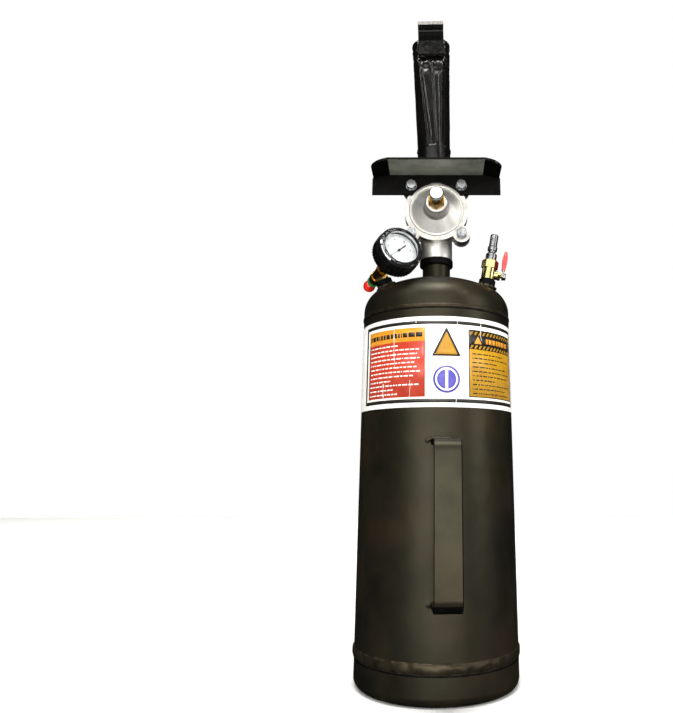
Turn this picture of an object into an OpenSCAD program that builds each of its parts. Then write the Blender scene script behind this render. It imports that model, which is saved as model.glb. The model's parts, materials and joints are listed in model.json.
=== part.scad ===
// Hand-held tyre bead seater: an air tank whose pulse valve fires a flat barrel.
// Millimetres. The origin is on the floor at the tank's axis, +Z is up and the front faces -Y.

/* [Tank] */
// Outside diameter of the tank
tank_d = 159; // [140:1:200]
// Thickness of the tank's steel
tank_wall = 3; // [2:0.5:5]
// Height of the seam between the bottom cap and the shell
cap_h = 30; // [26:1:60]
// Height of the seam between the shell and the domed head
shell_top = 353; // [350:1:440]
// Straight skirt of the domed head
skirt_h = 7.5; // [4:0.5:20]
// Outside radius of the head's crown
crown_r = 143; // [125:1:180]
// Outside radius of the head's knuckle
knuckle_r = 27; // [20:1:32]
// Outside radius of the bottom cap's edge
cap_edge_r = 8; // [5:0.5:12]
// Radius of the hollow pressed into the bottom cap
cap_dish_r = 52; // [30:1:55]
// Height of that hollow
cap_dish_h = 9; // [4:0.5:14]
// Height of the wide weld on the lower seam
low_weld_h = 8.6; // [4:0.2:12]
// How far the lower weld stands proud
low_weld_proud = 2; // [1:0.1:3]
// Height of the weld on the upper seam
top_weld_h = 4; // [2:0.2:6]
// How far the upper weld stands proud
top_weld_proud = 0.9; // [0.5:0.1:2]

/* [Carry handle] */
// Width of the handle's strap
strap_w = 25; // [18:1:32]
// Thickness of the handle's strap
strap_t = 5; // [3:0.5:8]
// Outside length of the handle
strap_len = 144; // [110:1:190]
// Height of the handle's lower end
strap_z = 79; // [60:1:110]
// How far the handle stands out from the tank
strap_out = 38; // [30:1:60]
// Outside radius of the handle's bends
strap_bend_r = 12; // [8:0.5:20]
// Turn of the handle round the tank, to the right
strap_turn = 5.2; // [0:0.1:20]

/* [Label] */
// Gap between the label's upper edge and the upper seam
label_drop = 11.8; // [4:0.1:20]
// Height of the label
label_h = 88.4; // [60:0.1:95]
// Angle that the label wraps round the tank
label_span = 166; // [90:1:180]
// Thickness of the label
label_t = 0.3; // [0.1:0.1:0.6]
// Thickness of the label's glue
glue_t = 0.05; // [0.02:0.01:0.1]

/* [Outlet stub] */
// Outside diameter of the outlet pipe
stub_d = 31; // [25:0.1:38]
// Bore of the outlet pipe
stub_bore = 22; // [16:0.5:26]
// Length of the outlet pipe that shows below its collar
stub_show = 16; // [10:0.5:30]
// Thickness of the lock collar's wall
collar_wall = 3.25; // [2:0.25:6]
// Height of the lock collar
collar_h = 8; // [5:0.5:14]
// Depth of the valve's inlet thread
inlet_thread = 14; // [10:0.5:18]

/* [Pulse valve] */
// Metal between the inlet thread and the valve's chamber
inlet_neck = 5.5; // [3:0.5:20]
// Wall of the inlet boss round the outlet pipe
inlet_wall = 2.5; // [2:0.25:5]
// Metal between the diaphragm's edge and the cover bolts
bolt_margin = 3.6; // [2.5:0.1:6]
// Radius of the lobe round each bolt
lobe_r = 9.7; // [8:0.1:12]
// Rim of the flange outside the diaphragm
flange_rim = 2.5; // [1.5:0.1:4]
// How far the body's front face stands in front of the inlet boss
face_step = 2; // [0.5:0.5:5]
// Thickness of the body's flange
body_flange_t = 8; // [6:0.5:10]
// Thickness of the cover's flange
cover_flange_t = 9; // [8:0.5:12]
// Inside radius of the valve's chamber
chamber_r = 27; // [22:0.5:33]
// Wall of the valve's chamber
chamber_wall = 4; // [3:0.5:6]
// Bore radius of the outlet seat
seat_r = 13.5; // [10:0.25:16.25]
// Wall of the outlet seat
seat_wall = 3.5; // [2:0.25:4.5]
// Width of the diaphragm's rim that the flanges hold
diaphragm_grip = 6; // [4:0.5:8]
// Thickness of the rubber diaphragm
diaphragm_t = 2; // [1:0.5:3]
// Radius of the steel plate on the diaphragm
plate_r = 14.5; // [12:0.5:17.5]
// Lift of the diaphragm
lift = 6; // [3:0.5:7.5]
// Wall between the valve's chamber and the edge of the cover's dome
dome_wall = 3.3; // [2.5:0.1:4.5]
// Metal between the spring's hollow and the top of the cover's cone
cone_roof = 2.5; // [2:0.1:4]
// Step from the cover's neck to the top of its cone
cone_step = 2.5; // [1:0.5:4]
// Radius of the cover's neck
neck_r = 12.5; // [10.4:0.1:15]
// Height of the neck's end above the cover's flange
neck_h = 23; // [20:0.5:30]
// Rounding of the neck's shoulder
neck_round = 3; // [2:0.5:4]
// Radius of the cover bolts' shanks
bolt_r = 3; // [2.5:0.5:4]
// Width across the flats of the bolt heads
bolt_af = 10; // [9:0.5:13]
// Height of the bolt heads
bolt_head_h = 4; // [3:0.5:6]

/* [Pilot button] */
// Width across the flats of the brass pilot body
pilot_af = 17; // [15:0.5:20]
// Length of the brass hexagon
pilot_hex_h = 10; // [8:0.5:14]
// Radius of the pilot body's thread
pilot_thread_r = 6; // [5:0.5:7]
// Radius of the plunger
plunger_r = 2.9; // [2:0.1:3.5]
// Radius of the push button
button_r = 7.5; // [6:0.5:9]
// Thickness of the push button
button_t = 3.8; // [3:0.2:6]
// Travel of the push button
button_travel = 4; // [2:0.5:5]
// Gap left under the push button when it is pushed right in
button_clear = 6.8; // [5.6:0.2:10]

/* [Handle bar] */
// Width of the handle bar's web
bar_w = 144; // [120:1:190]
// Thickness of the handle bar's sheet
bar_t = 2.5; // [1.5:0.5:4]
// Depth of the web below the upper bolts
bar_skirt = 10.2; // [8:0.1:18]
// Height of the shelf's underside above the upper bolts
bar_room = 13.5; // [10:0.5:20]
// Depth of the shelf from the back of the web to its front edge
shelf_depth = 41; // [30:1:60]
// Width of each of the shelf's sloping ends
wing_w = 19.5; // [16.5:0.5:30]
// Slope of the shelf's two ends
wing_slope = 14; // [5:1:30]
// Radius of the shelf's front corners
wing_corner_r = 14; // [6:0.5:15]
// Gap between the cover's dome and the web's cut-out
bar_cut_gap = 1.8; // [0.5:0.1:3]

/* [Barrel] */
// Outside diameter of the barrel pipe
barrel_d = 42.4; // [35.4:0.1:52]
// Wall of the barrel
barrel_wall = 3; // [2:0.25:4]
// Height of the pipe's seam above the valve's axis
barrel_seam = 118; // [90:1:160]
// Height of the barrel's mouth above the valve's axis
barrel_top = 280; // [220:1:330]
// Outside width of the flattened mouth
mouth_w = 51; // [44:0.5:60]
// Outside depth of the flattened mouth
mouth_d = 27.5; // [20:0.5:34]
// Lean of the barrel to the left
barrel_lean = 1.5; // [0:0.1:5]
// Outside radius of the outlet nipple
nipple_r = 16.5; // [15:0.1:19.8]
// Wall of the outlet nipple
nipple_wall = 3; // [2:0.25:4]
// Wall of the valve's outlet round the nipple
outlet_wall = 5.5; // [3:0.5:8]
// Wall of the elbow's bend
elbow_wall = 3.5; // [2.5:0.25:5]
// Wall of the elbow's lower socket round the nipple
arm_wall = 6.5; // [4:0.5:8]
// Wall of the elbow's upper socket round the barrel pipe
socket_wall = 3.3; // [2.5:0.1:5]
// Inside radius of the elbow's bend
bend_in = 4; // [2:0.5:14]
// Width of the rim hook
hook_w = 34; // [24:1:40]
// Thickness of the rim hook
hook_t = 5; // [3:0.5:7]
// Rise of the hook's underside above the mouth
hook_rise = 11; // [6:0.5:25]
// Length of the hook's tip
hook_tip = 12; // [6:0.5:25]
// Length of the hook that is welded to the barrel
hook_root = 26; // [15:1:50]

/* [Tank fittings] */
// Distance in from the tank's side to the two fittings
port_inset = 25; // [22:0.5:32]
// Distance of the two fittings in front of the tank's axis
port_front = 22; // [0:1:26]
// Outside diameter of the welded bosses
boss_d = 18; // [17:0.5:22]
// Height of the bosses above the head
boss_h = 7.5; // [6:0.5:14]
// Radius of the threads in the bosses
boss_thread_r = 5.5; // [5:0.25:6.5]
// Outward lean of the gauge's boss
gauge_lean = 26; // [0:1:30]
// Outward lean of the air inlet's boss
inlet_lean = 10; // [0:1:30]

/* [Pressure gauge] */
// Height of the tee's centre above the boss
tee_rise = 9.5; // [8:0.5:14]
// Wall of the tee's body round the gauge stem's threads
tee_wall = 1.7; // [1.2:0.1:3]
// Half length of the tee
tee_half = 10; // [9:0.5:14]
// Turn of the gauge to the right
gauge_turn = 30; // [0:1:60]
// Distance from the tee's centre to the back of the gauge
gauge_reach = 38; // [34:0.5:50]
// Outside radius of the gauge's case
case_r = 21.5; // [20:0.5:24]
// Depth of the gauge's case
case_depth = 18; // [16:0.5:24]
// Wall of the gauge's case
case_wall = 1; // [0.8:0.1:1.5]
// Thickness of the rubber boot
boot_t = 2.4; // [1.5:0.1:4]
// Thickness of the boot's back
boot_back = 1.5; // [1:0.1:3]
// Number of grip ribs round the boot
boot_ribs = 44; // [24:1:60]
// Thickness of the gauge's glass
lens_t = 1.4; // [1:0.1:2]
// Turn of the dial on its axis, to the right
dial_turn = 28; // [0:1:60]
// Sweep of the gauge's needle
needle_sweep = 270; // [180:1:300]
// Radius of the gauge stem's threads
stem_thread_r = 4.8; // [4:0.1:5.2]
// Width across the flats of the gauge stem
stem_af = 12; // [11:0.5:14]

/* [Relief valve] */
// Width across the flats of the relief valve
relief_af = 12; // [11:0.5:14]
// Radius of the relief valve's barrel
relief_r = 4.9; // [4.1:0.1:5.8]
// Length of the relief valve's hexagon
relief_hex_h = 6; // [4:0.5:9]
// Radius of the red pull knob
knob_r = 6.8; // [5:0.1:9]
// Lift of the relief valve's poppet
relief_lift = 2.5; // [1:0.5:3]

/* [Air inlet valve] */
// Radius of the ball
ball_r = 5.2; // [4.4:0.1:6.2]
// Wall of the ball valve's body round the ball
tap_wall = 2; // [1.5:0.1:3]
// Length of the ball valve's body below the ball
tap_floor = 1.8; // [1.5:0.1:5]
// Length of the ball valve's body above the ball
tap_roof = 1.3; // [1.1:0.1:5]
// Bore radius through the ball
ball_bore_r = 2.6; // [2:0.1:3]
// Width across the flats of the end nut
end_af = 16; // [15:0.5:19]
// Length of the end nut
end_h = 9; // [8:0.5:14]
// Radius of the lever's stem
stem_r = 2.2; // [1.8:0.1:2.6]
// Gap between the packing nut and the lever
lever_gap = 1.7; // [0.5:0.1:4]
// Length of the lever from its stem
lever_len = 29; // [24:0.5:45]
// Thickness of the lever
lever_t = 1.5; // [1:0.1:2.5]
// Width of the lever
lever_w = 7; // [5.8:0.2:10]
// Radius of the air plug's tip
plug_tip_r = 4.5; // [3.75:0.05:5.4]
// Length of the air plug's tip
plug_tip_len = 14; // [10:0.5:18]
// Bore radius of the air plug
plug_bore_r = 1.9; // [1.5:0.1:2.6]
// Radius of the air plug's thread
plug_thread_r = 5; // [4.2:0.1:6]

/* [Fits] */
// Gap between pieces that move against each other
move_gap = 0.3; // [0.2:0.05:0.5]
// Radial clearance of a running shaft
run_gap = 0.06; // [0.02:0.01:0.1]

/* [Hidden] */
$fn = 64;
tank_r = tank_d / 2;
// Domed head: heights are above the skirt
head_z = shell_top + skirt_h;
knuckle_at = tank_r - knuckle_r;
crown_low = sqrt(pow(crown_r - knuckle_r, 2) - pow(knuckle_at, 2));
crown_edge = knuckle_at * crown_r / (crown_r - knuckle_r);
function crown_z(r) = sqrt(pow(crown_r, 2) - pow(r, 2)) - crown_low;
function knuckle_z(r) = sqrt(max(0, pow(knuckle_r, 2) - pow(r - knuckle_at, 2)));
function dome_z(r) = head_z + (r < crown_edge ? crown_z(r) : knuckle_z(r));
dome_top = dome_z(0);
// Bottom cap: the hollow is part of a sphere
dish_sphere = (pow(cap_dish_r, 2) + pow(cap_dish_h, 2)) / (2 * cap_dish_h);
label_z = shell_top - label_drop - label_h;
// Outlet stub and collar
collar_z = dome_top + stub_show;
inlet_z = collar_z + collar_h;
stub_in = 5;
stub_low = dome_top - tank_wall - stub_in;
collar_r = stub_d / 2 + collar_wall;
// Pulse valve: radii
chamber_out_r = chamber_r + chamber_wall;
inlet_boss_r = stub_d / 2 + inlet_wall;
seat_out_r = seat_r + seat_wall;
diaphragm_r = chamber_r + diaphragm_grip;
flange_r = diaphragm_r + flange_rim;
bolt_at = (diaphragm_r + bolt_r + bolt_margin) / sqrt(2);
dome_r = chamber_r + dome_wall;
cone_top_r = neck_r + cone_step;
cavity_r = plate_r + 1.5;
// Pulse valve: distances in front of the tank's axis
valve_rise = chamber_out_r + inlet_thread + inlet_neck;
valve_z = inlet_z + valve_rise;
split_t = inlet_boss_r + face_step;
cover_t = split_t + cover_flange_t;
bar_front = cover_t + bar_t;
plate_t = 2;
plate_at = split_t + diaphragm_t + move_gap;
plate_pin_h = 3;
plate_pin_r = 3;
pin_room = 1.2;
cavity_t = plate_at + plate_t + plate_pin_h + lift + pin_room;
cone_h = cavity_t + cone_roof - cover_t;
chamber_back = -2;
body_back = -7;
port_back = -30;
port_stop = -14;
neck_t = cover_t + neck_h;
hex_t = neck_t + pilot_hex_h;
// Pilot button: the cup takes the plunger's collar when the button is pushed in
button_t0 = hex_t + button_travel + button_clear;
cup_depth = button_travel + 1;
cup_bore_r = pilot_af / 2 - 3.1;
cup_chamfer = 1.8;
plunger_collar_r = cup_bore_r - 1;
plunger_collar_t = button_t0 - 8;
pilot_thread_len = 9;
seal_wire_r = 0.7;
flat_washer_t = 1.2;
spring_washer_t = 1.6;
bolt_len = cover_flange_t + body_flange_t + flat_washer_t + spring_washer_t - 0.5;
// Bar: heights above the valve's axis; the sloping ends stop just short of the web's ends
bar_low = bolt_at - bar_skirt;
bar_high = bolt_at + bar_room;
shelf_half = bar_w / 2 - wing_w;
wing_inset = 0.6;
wing_len = (wing_w - wing_inset) / cos(wing_slope);
// Elbow and barrel: distances behind the tank's axis and above the valve's axis
elbow_gap = 1;
elbow_y0 = -port_back + elbow_gap;
elbow_arm = 8;
elbow_r = nipple_r + elbow_wall;
elbow_bend = elbow_r + bend_in;
barrel_y = elbow_y0 + elbow_arm + elbow_bend;
socket_low = elbow_bend + 12;
socket_top = socket_low + 20;
barrel_r = barrel_d / 2;
elbow_band_r = barrel_r + socket_wall;
loft_cap = 0.5;
// Fittings on the head
port_x = tank_r - port_inset;
port_r = norm([port_x, port_front]);
port_z = dome_z(port_r);
boss_deep = tank_wall + 4;
tee_h = boss_h + tee_rise;
// Gauge: distances along its axis from the tee's centre
tee_r = stem_thread_r + tee_wall;
case_back = gauge_reach + boot_back;
case_front = case_back + case_depth;
lens_at = case_front - lens_t - 0.6;
bezel_front = case_front + 2.2;
bezel_in_r = case_r - 3.2;
bezel_r = case_r + boot_t - 0.8;
dial_at = lens_at - 5;
dial_r = case_r - case_wall - 0.3;
needle_at = dial_at + 1.6;
boot_r = case_r + boot_t;
stem_in = 1.5;
stem_neck_r = 5;
stem_end_r = 3.5;
stem_end_h = 3.6;
spindle_r = 0.6;
// Relief valve: distances back from the tee's centre
relief_start = tee_half;
relief_tail = relief_lift + 3.5;
relief_end = relief_start + relief_hex_h + relief_tail;
relief_in = 3;
relief_seat = relief_in + 2;
relief_cavity_end = relief_end - 1.5;
band_h = 3.4;
band_t = 1.6;
knob_at = relief_end + knob_r + 2.2;
rod_r = 1.6;
poppet_r = 2.9;
poppet_h = 1.8;
// Air inlet valve: heights above its boss's foot on the head
tap_z0 = boss_h;
tap_cavity_r = ball_r + move_gap;
tap_r = tap_cavity_r + tap_wall;
ball_z = tap_z0 + tap_floor + ball_r;
tap_top = ball_z + ball_r + tap_roof;
tap_h = tap_top - tap_z0;
end_top = tap_top + end_h;
plug_z = end_top;
plug_body_h = 9;
plug_neck_h = 3;
plug_shoulder_h = 5;
plug_tip_z = plug_z + plug_body_h + plug_neck_h + plug_shoulder_h;
seat_ring_h = 2;
seat_slack = 0.2;
packing_in = tap_r + 2.6;
packing_h = 3;
lever_out = packing_in + packing_h + lever_gap;
slot_depth = 1.4;
grip_wall = 1.95;
grip_t = lever_t + 2 * grip_wall;
grip_start = 8.5;
grip_swell = 0.62;

// ---- Places ----

// Valve frame: X right, Y up, Z out of the cover towards the user
module at_valve() {
    translate([0, 0, valve_z]) rotate([90, 0, 0]) children();
}

// Barrel frame: origin on the valve's axis, leaning with the barrel
module at_barrel() {
    translate([0, 0, valve_z]) rotate([0, -barrel_lean, 0]) children();
}

module at_gauge_port() {
    translate([-port_x, -port_front, port_z]) rotate([0, -gauge_lean, 0]) children();
}

module at_inlet_port() {
    translate([port_x, -port_front, port_z]) rotate([0, inlet_lean, 0]) children();
}

// Gauge frame: Z along the gauge's axis from the tee's centre, Y up
module at_gauge() {
    at_gauge_port() translate([0, 0, tee_h]) rotate([0, 0, gauge_turn]) rotate([90, 0, 0])
        children();
}

// Tap frame: Z from the ball's centre along the stem, X down the stack
module at_stem() {
    at_inlet_port() translate([0, 0, ball_z]) rotate([0, 90, 0]) children();
}

// ---- Shared shapes ----

module tube(h, out_r, in_r) {
    difference() {
        cylinder(h = h, r = out_r);
        translate([0, 0, -1]) cylinder(h = h + 2, r = in_r);
    }
}

module hex(h, flats) {
    cylinder(h = h, r = flats / 2 / cos(30), $fn = 6);
}

// Hexagon with its outer corners turned down at the top
module turned_hex(h, flats, turn) {
    intersection() {
        hex(h, flats);
        union() {
            cylinder(h = h - turn, r = flats);
            translate([0, 0, h - turn]) cylinder(h = turn, r1 = flats / 2 + turn * 1.7, r2 = flats / 2 - 0.1);
        }
    }
}

module ring(mean_r, wire_r) {
    rotate_extrude() translate([mean_r, 0]) circle(wire_r);
}

// Round wire wound into a coil spring
module coil(mean_r, wire_r, length, turns) {
    sides = 6;
    steps = turns * 12;
    points = [for (i = [0:steps], k = [0:sides - 1])
        let (turn = i * 360 / 12, side = k * 360 / sides, rad = mean_r + wire_r * cos(side))
        [rad * cos(turn), rad * sin(turn),
            wire_r + (length - 2 * wire_r) * i / steps + wire_r * sin(side)]];
    walls = [for (i = [0:steps - 1], k = [0:sides - 1])
        let (a = i * sides + k, b = i * sides + (k + 1) % sides)
        [a, a + sides, b + sides, b]];
    start = [[for (k = [0:sides - 1]) k]];
    end = [[for (k = [sides - 1:-1:0]) steps * sides + k]];
    polyhedron(points, concat(walls, start, end), convexity = 10);
}

// ---- Tank ----

// Half outline of the head, taken in by the thickness given
module head_half(inward) {
    intersection() {
        square([tank_r - inward, crown_r]);
        union() {
            translate([knuckle_at, 0]) circle(knuckle_r - inward);
            intersection() {
                translate([0, -crown_low]) circle(crown_r - inward);
                polygon([[0, -crown_low], [crown_edge * 2, crown_low + 2 * crown_z(crown_edge)],
                    [0, 3 * crown_r]]);
            }
        }
    }
}

module top_head() {
    color("#2b2b28") difference() {
        union() {
            translate([0, 0, head_z]) rotate_extrude() difference() {
                head_half(0);
                head_half(tank_wall);
            }
            translate([0, 0, shell_top]) tube(skirt_h, tank_r, tank_r - tank_wall);
        }
        translate([0, 0, stub_low - 1]) cylinder(h = crown_r, r = stub_d / 2);
        at_gauge_port() translate([0, 0, -boss_deep]) cylinder(h = knuckle_r, r = boss_d / 2);
        at_inlet_port() translate([0, 0, -boss_deep]) cylinder(h = knuckle_r, r = boss_d / 2);
    }
}

module tank_shell() {
    color("#2b2b28") translate([0, 0, cap_h])
        tube(shell_top - cap_h, tank_r, tank_r - tank_wall);
}

// Half outline of the bottom cap, taken in by the thickness given
module cap_half(inward) {
    edge = cap_edge_r - inward;
    translate([tank_r - cap_edge_r, cap_edge_r]) circle(edge);
    translate([0, cap_edge_r]) square([tank_r - inward, cap_h - cap_edge_r + inward]);
    translate([0, inward]) square([tank_r - cap_edge_r, cap_edge_r]);
}

module bottom_head() {
    color("#2b2b28") rotate_extrude() intersection() {
        square([tank_r + 1, cap_h]);
        difference() {
            cap_half(0);
            translate([0, cap_dish_h - dish_sphere]) circle(dish_sphere);
            difference() {
                cap_half(tank_wall);
                translate([0, cap_dish_h - dish_sphere]) circle(dish_sphere + tank_wall);
            }
        }
    }
}

module weld_band(z, h, proud) {
    rotate_extrude() translate([tank_r, z]) polygon([[0, -h / 2], [proud * 0.7, -h * 0.4],
        [proud, -h * 0.2], [proud, h * 0.2], [proud * 0.7, h * 0.4], [0, h / 2]]);
}

module seam_welds() {
    color("#1c1b19") {
        weld_band(cap_h, low_weld_h, low_weld_proud);
        weld_band(shell_top, top_weld_h, top_weld_proud);
    }
}

// Outline of the handle seen from its side, taken in by the thickness given
module strap_outline(inward) {
    bend = strap_bend_r - inward;
    out = tank_r + strap_out - strap_bend_r;
    for (z = [strap_bend_r, strap_len - strap_bend_r])
        translate([out, z]) circle(bend);
    translate([0, inward]) square([out, strap_len - 2 * inward]);
    translate([0, strap_bend_r]) square([out + bend, strap_len - 2 * strap_bend_r]);
}

module carry_handle() {
    color("#1f1e1b") difference() {
        translate([0, 0, strap_z]) rotate([0, 0, strap_turn - 90]) rotate([90, 0, 0])
            translate([0, 0, -strap_w / 2]) linear_extrude(strap_w) difference() {
                strap_outline(0);
                strap_outline(strap_t);
            }
        cylinder(h = shell_top, r = tank_r);
    }
}

module label() {
    color("#f2efe6") translate([0, 0, label_z]) rotate([0, 0, -90 - label_span / 2])
        rotate_extrude(angle = label_span) translate([tank_r + glue_t, 0]) square([label_t, label_h]);
}

module outlet_stub() {
    color("#1b1a19") translate([0, 0, stub_low])
        tube(inlet_z + inlet_thread - stub_low, stub_d / 2, stub_bore / 2);
}

module stub_collar() {
    chamfer = 1;
    color("#151515") translate([0, 0, collar_z]) difference() {
        union() {
            cylinder(h = chamfer, r1 = collar_r - chamfer, r2 = collar_r);
            translate([0, 0, chamfer]) cylinder(h = collar_h - 2 * chamfer, r = collar_r);
            translate([0, 0, collar_h - chamfer])
                cylinder(h = chamfer, r1 = collar_r, r2 = collar_r - chamfer);
        }
        translate([0, 0, -1]) cylinder(h = collar_h + 2, r = stub_d / 2);
    }
}

// Threaded boss let into the head's wall
module boss() {
    translate([0, 0, -boss_deep]) tube(boss_deep + boss_h, boss_d / 2, boss_thread_r);
}

module gauge_boss() {
    color("#1b1a19") at_gauge_port() boss();
}

module inlet_boss() {
    color("#1b1a19") at_inlet_port() boss();
}

// ---- Pulse valve ----

module bolt_spots() {
    for (x = [-bolt_at, bolt_at], y = [-bolt_at, bolt_at])
        translate([x, y]) children();
}

// Flange outline with a lobe round each bolt
module flange_outline() {
    circle(flange_r);
    bolt_spots() circle(lobe_r);
    for (turn = [45, 135])
        rotate(turn) square([2 * bolt_at * sqrt(2), 2 * lobe_r - 2], center = true);
}

module valve_body() {
    inlet_top = -chamber_r + 3;
    color("#c9c8c2") at_valve() difference() {
        union() {
            translate([0, 0, split_t - body_flange_t]) linear_extrude(body_flange_t) flange_outline();
            translate([0, 0, body_back]) cylinder(h = split_t - body_back - 1, r = chamber_out_r);
            translate([0, 0, port_back]) cylinder(h = body_back - port_back + 1, r = nipple_r + outlet_wall);
            rotate([90, 0, 0]) cylinder(h = valve_rise, r = inlet_boss_r);
        }
        difference() {
            translate([0, 0, chamber_back]) cylinder(h = split_t, r = chamber_r);
            translate([0, 0, chamber_back - 1]) cylinder(h = split_t - chamber_back, r = seat_out_r);
        }
        translate([0, 0, split_t - 1]) cylinder(h = 2, r = chamber_r);
        translate([0, 0, port_stop - 1]) cylinder(h = split_t - port_stop + 2, r = seat_r);
        translate([0, 0, port_back - 1]) cylinder(h = port_stop - port_back + 1, r = nipple_r);
        translate([0, -valve_rise - 1, 0]) rotate([-90, 0, 0])
            cylinder(h = inlet_thread + 1, r = stub_d / 2);
        translate([0, -valve_rise, 0]) rotate([-90, 0, 0])
            cylinder(h = valve_rise + inlet_top, r = stub_bore / 2);
        bolt_spots() translate([0, 0, split_t - body_flange_t - 1])
            cylinder(h = body_flange_t + 2, r = bolt_r);
    }
}

module valve_cover() {
    bead_r = 1.2;
    color("#d4d3ce") at_valve() difference() {
        union() {
            translate([0, 0, split_t]) linear_extrude(cover_flange_t) flange_outline();
            translate([0, 0, cover_t]) ring(dome_r - bead_r, bead_r);
            translate([0, 0, cover_t]) cylinder(h = cone_h, r1 = dome_r - 2.6, r2 = cone_top_r);
            translate([0, 0, cover_t + cone_h - 0.01])
                cylinder(h = 3, r1 = cone_top_r, r2 = neck_r);
            translate([0, 0, cover_t]) cylinder(h = neck_h - neck_round, r = neck_r);
            translate([0, 0, cover_t]) cylinder(h = neck_h, r = neck_r - neck_round);
            translate([0, 0, neck_t - neck_round]) ring(neck_r - neck_round, neck_round);
        }
        translate([0, 0, split_t - 1]) cylinder(h = diaphragm_t + 1, r = diaphragm_r);
        translate([0, 0, split_t]) cylinder(h = cover_flange_t - 1, r = chamber_r - 2);
        translate([0, 0, split_t]) cylinder(h = cavity_t - split_t, r = cavity_r);
        translate([0, 0, split_t]) cylinder(h = neck_t, r = pilot_thread_r);
        bolt_spots() translate([0, 0, split_t - 1]) cylinder(h = cover_flange_t + 2, r = bolt_r);
    }
}

module diaphragm() {
    color("#232323") at_valve() translate([0, 0, split_t]) cylinder(h = diaphragm_t, r = diaphragm_r);
}

module diaphragm_plate() {
    color("#b8bcc0") at_valve() translate([0, 0, plate_at]) {
        cylinder(h = plate_t, r = plate_r);
        cylinder(h = plate_t + plate_pin_h, r = plate_pin_r);
    }
}

module main_spring() {
    end_gap = 0.2;
    wire_r = 0.8;
    spring_low = plate_at + plate_t + end_gap;
    color("#9fa3a6") at_valve() translate([0, 0, spring_low])
        coil(plate_r - 4.5, wire_r, cavity_t - spring_low - end_gap, 4);
}

// Height of the face that each bolt clamps: the upper two go through the bar
function seat_at(y) = y > 0 ? bar_front : cover_t;

module cover_bolts() {
    color("#c7c9cb") at_valve() for (x = [-bolt_at, bolt_at], y = [-bolt_at, bolt_at])
        translate([x, y, seat_at(y) + flat_washer_t + spring_washer_t]) {
            rotate(x + 8) turned_hex(bolt_head_h, bolt_af, 0.8);
            translate([0, 0, -bolt_len]) cylinder(h = bolt_len, r = bolt_r);
        }
}

module spring_washers() {
    color("#a9acae") at_valve() for (x = [-bolt_at, bolt_at], y = [-bolt_at, bolt_at])
        translate([x, y, seat_at(y) + flat_washer_t])
            tube(spring_washer_t, bolt_af / 2, bolt_r);
}

module flat_washers() {
    color("#bfc2c4") at_valve() for (x = [-bolt_at, bolt_at], y = [-bolt_at, bolt_at])
        translate([x, y, seat_at(y)]) tube(flat_washer_t, bolt_af / 2 + 1.2, bolt_r);
}

// ---- Pilot button ----

module pilot_body() {
    vent_r = 1;
    vent_up = 3;
    pocket_h = 4;
    pilot_low = neck_t - pilot_thread_len;
    color("#b99a4a") at_valve() difference() {
        union() {
            translate([0, 0, pilot_low]) cylinder(h = pilot_thread_len, r = pilot_thread_r);
            translate([0, 0, neck_t]) rotate(30) turned_hex(pilot_hex_h, pilot_af, 1);
        }
        translate([0, 0, pilot_low - 1])
            cylinder(h = hex_t - pilot_low + 2, r = plunger_r + run_gap);
        translate([0, 0, pilot_low - 1])
            cylinder(h = pocket_h + 1, r = plunger_r + 2 * seal_wire_r + move_gap);
        translate([0, 0, hex_t - cup_depth]) cylinder(h = cup_depth + 1, r = cup_bore_r);
        translate([0, 0, hex_t - cup_chamfer + 0.4])
            cylinder(h = cup_chamfer - 0.3, r1 = cup_bore_r, r2 = cup_bore_r + cup_chamfer);
        translate([0, 0, neck_t + vent_up]) rotate([90, 0, 0]) cylinder(h = pilot_af, r = vent_r);
    }
}

module pilot_button() {
    chamfer = 0.9;
    collar_len = 4.5;
    inner_end = neck_t - pilot_thread_len + 2;
    color("#d8dadb") at_valve() {
        translate([0, 0, inner_end]) cylinder(h = button_t0 - inner_end + 0.5, r = plunger_r);
        translate([0, 0, plunger_collar_t]) cylinder(h = collar_len, r = plunger_collar_r);
        translate([0, 0, plunger_collar_t + collar_len - 0.1])
            cylinder(h = button_t0 - plunger_collar_t - collar_len + 0.2, r = plunger_r + 0.5);
        translate([0, 0, button_t0]) cylinder(h = button_t - chamfer, r = button_r);
        translate([0, 0, button_t0 + button_t - chamfer])
            cylinder(h = chamfer, r1 = button_r, r2 = button_r - chamfer);
    }
}

module pilot_seal() {
    squeeze = 0.1;
    color("#151515") at_valve() translate([0, 0, neck_t - pilot_thread_len + 3])
        difference() {
            ring(plunger_r + seal_wire_r - squeeze, seal_wire_r);
            translate([0, 0, -2]) cylinder(h = 4, r = plunger_r);
        }
}

module pilot_spring() {
    end_gap = 0.1;
    wire_r = 0.35;
    low = hex_t - cup_depth + end_gap;
    color("#c9ccce") at_valve() translate([0, 0, low])
        coil((plunger_r + cup_bore_r) / 2, wire_r, plunger_collar_t - low - end_gap, 5);
}

// ---- Handle bar ----

module bar_web() {
    half = bar_w / 2;
    middle_top = bar_high + bar_t / 2;
    end_top = middle_top - (half - shelf_half) * tan(wing_slope);
    difference() {
        polygon([[-half, bar_low], [half, bar_low], [half, end_top],
            [shelf_half, middle_top], [-shelf_half, middle_top], [-half, end_top]]);
        circle(dome_r + bar_cut_gap);
        for (x = [-bolt_at, bolt_at]) translate([x, bolt_at]) circle(bolt_r);
    }
}

// Sloping end of the shelf, as a flat plate with a rounded front corner
module shelf_wing() {
    linear_extrude(bar_t) {
        square([wing_len - wing_corner_r, shelf_depth]);
        square([wing_len, shelf_depth - wing_corner_r]);
        translate([wing_len - wing_corner_r, shelf_depth - wing_corner_r]) circle(wing_corner_r);
    }
}

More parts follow.
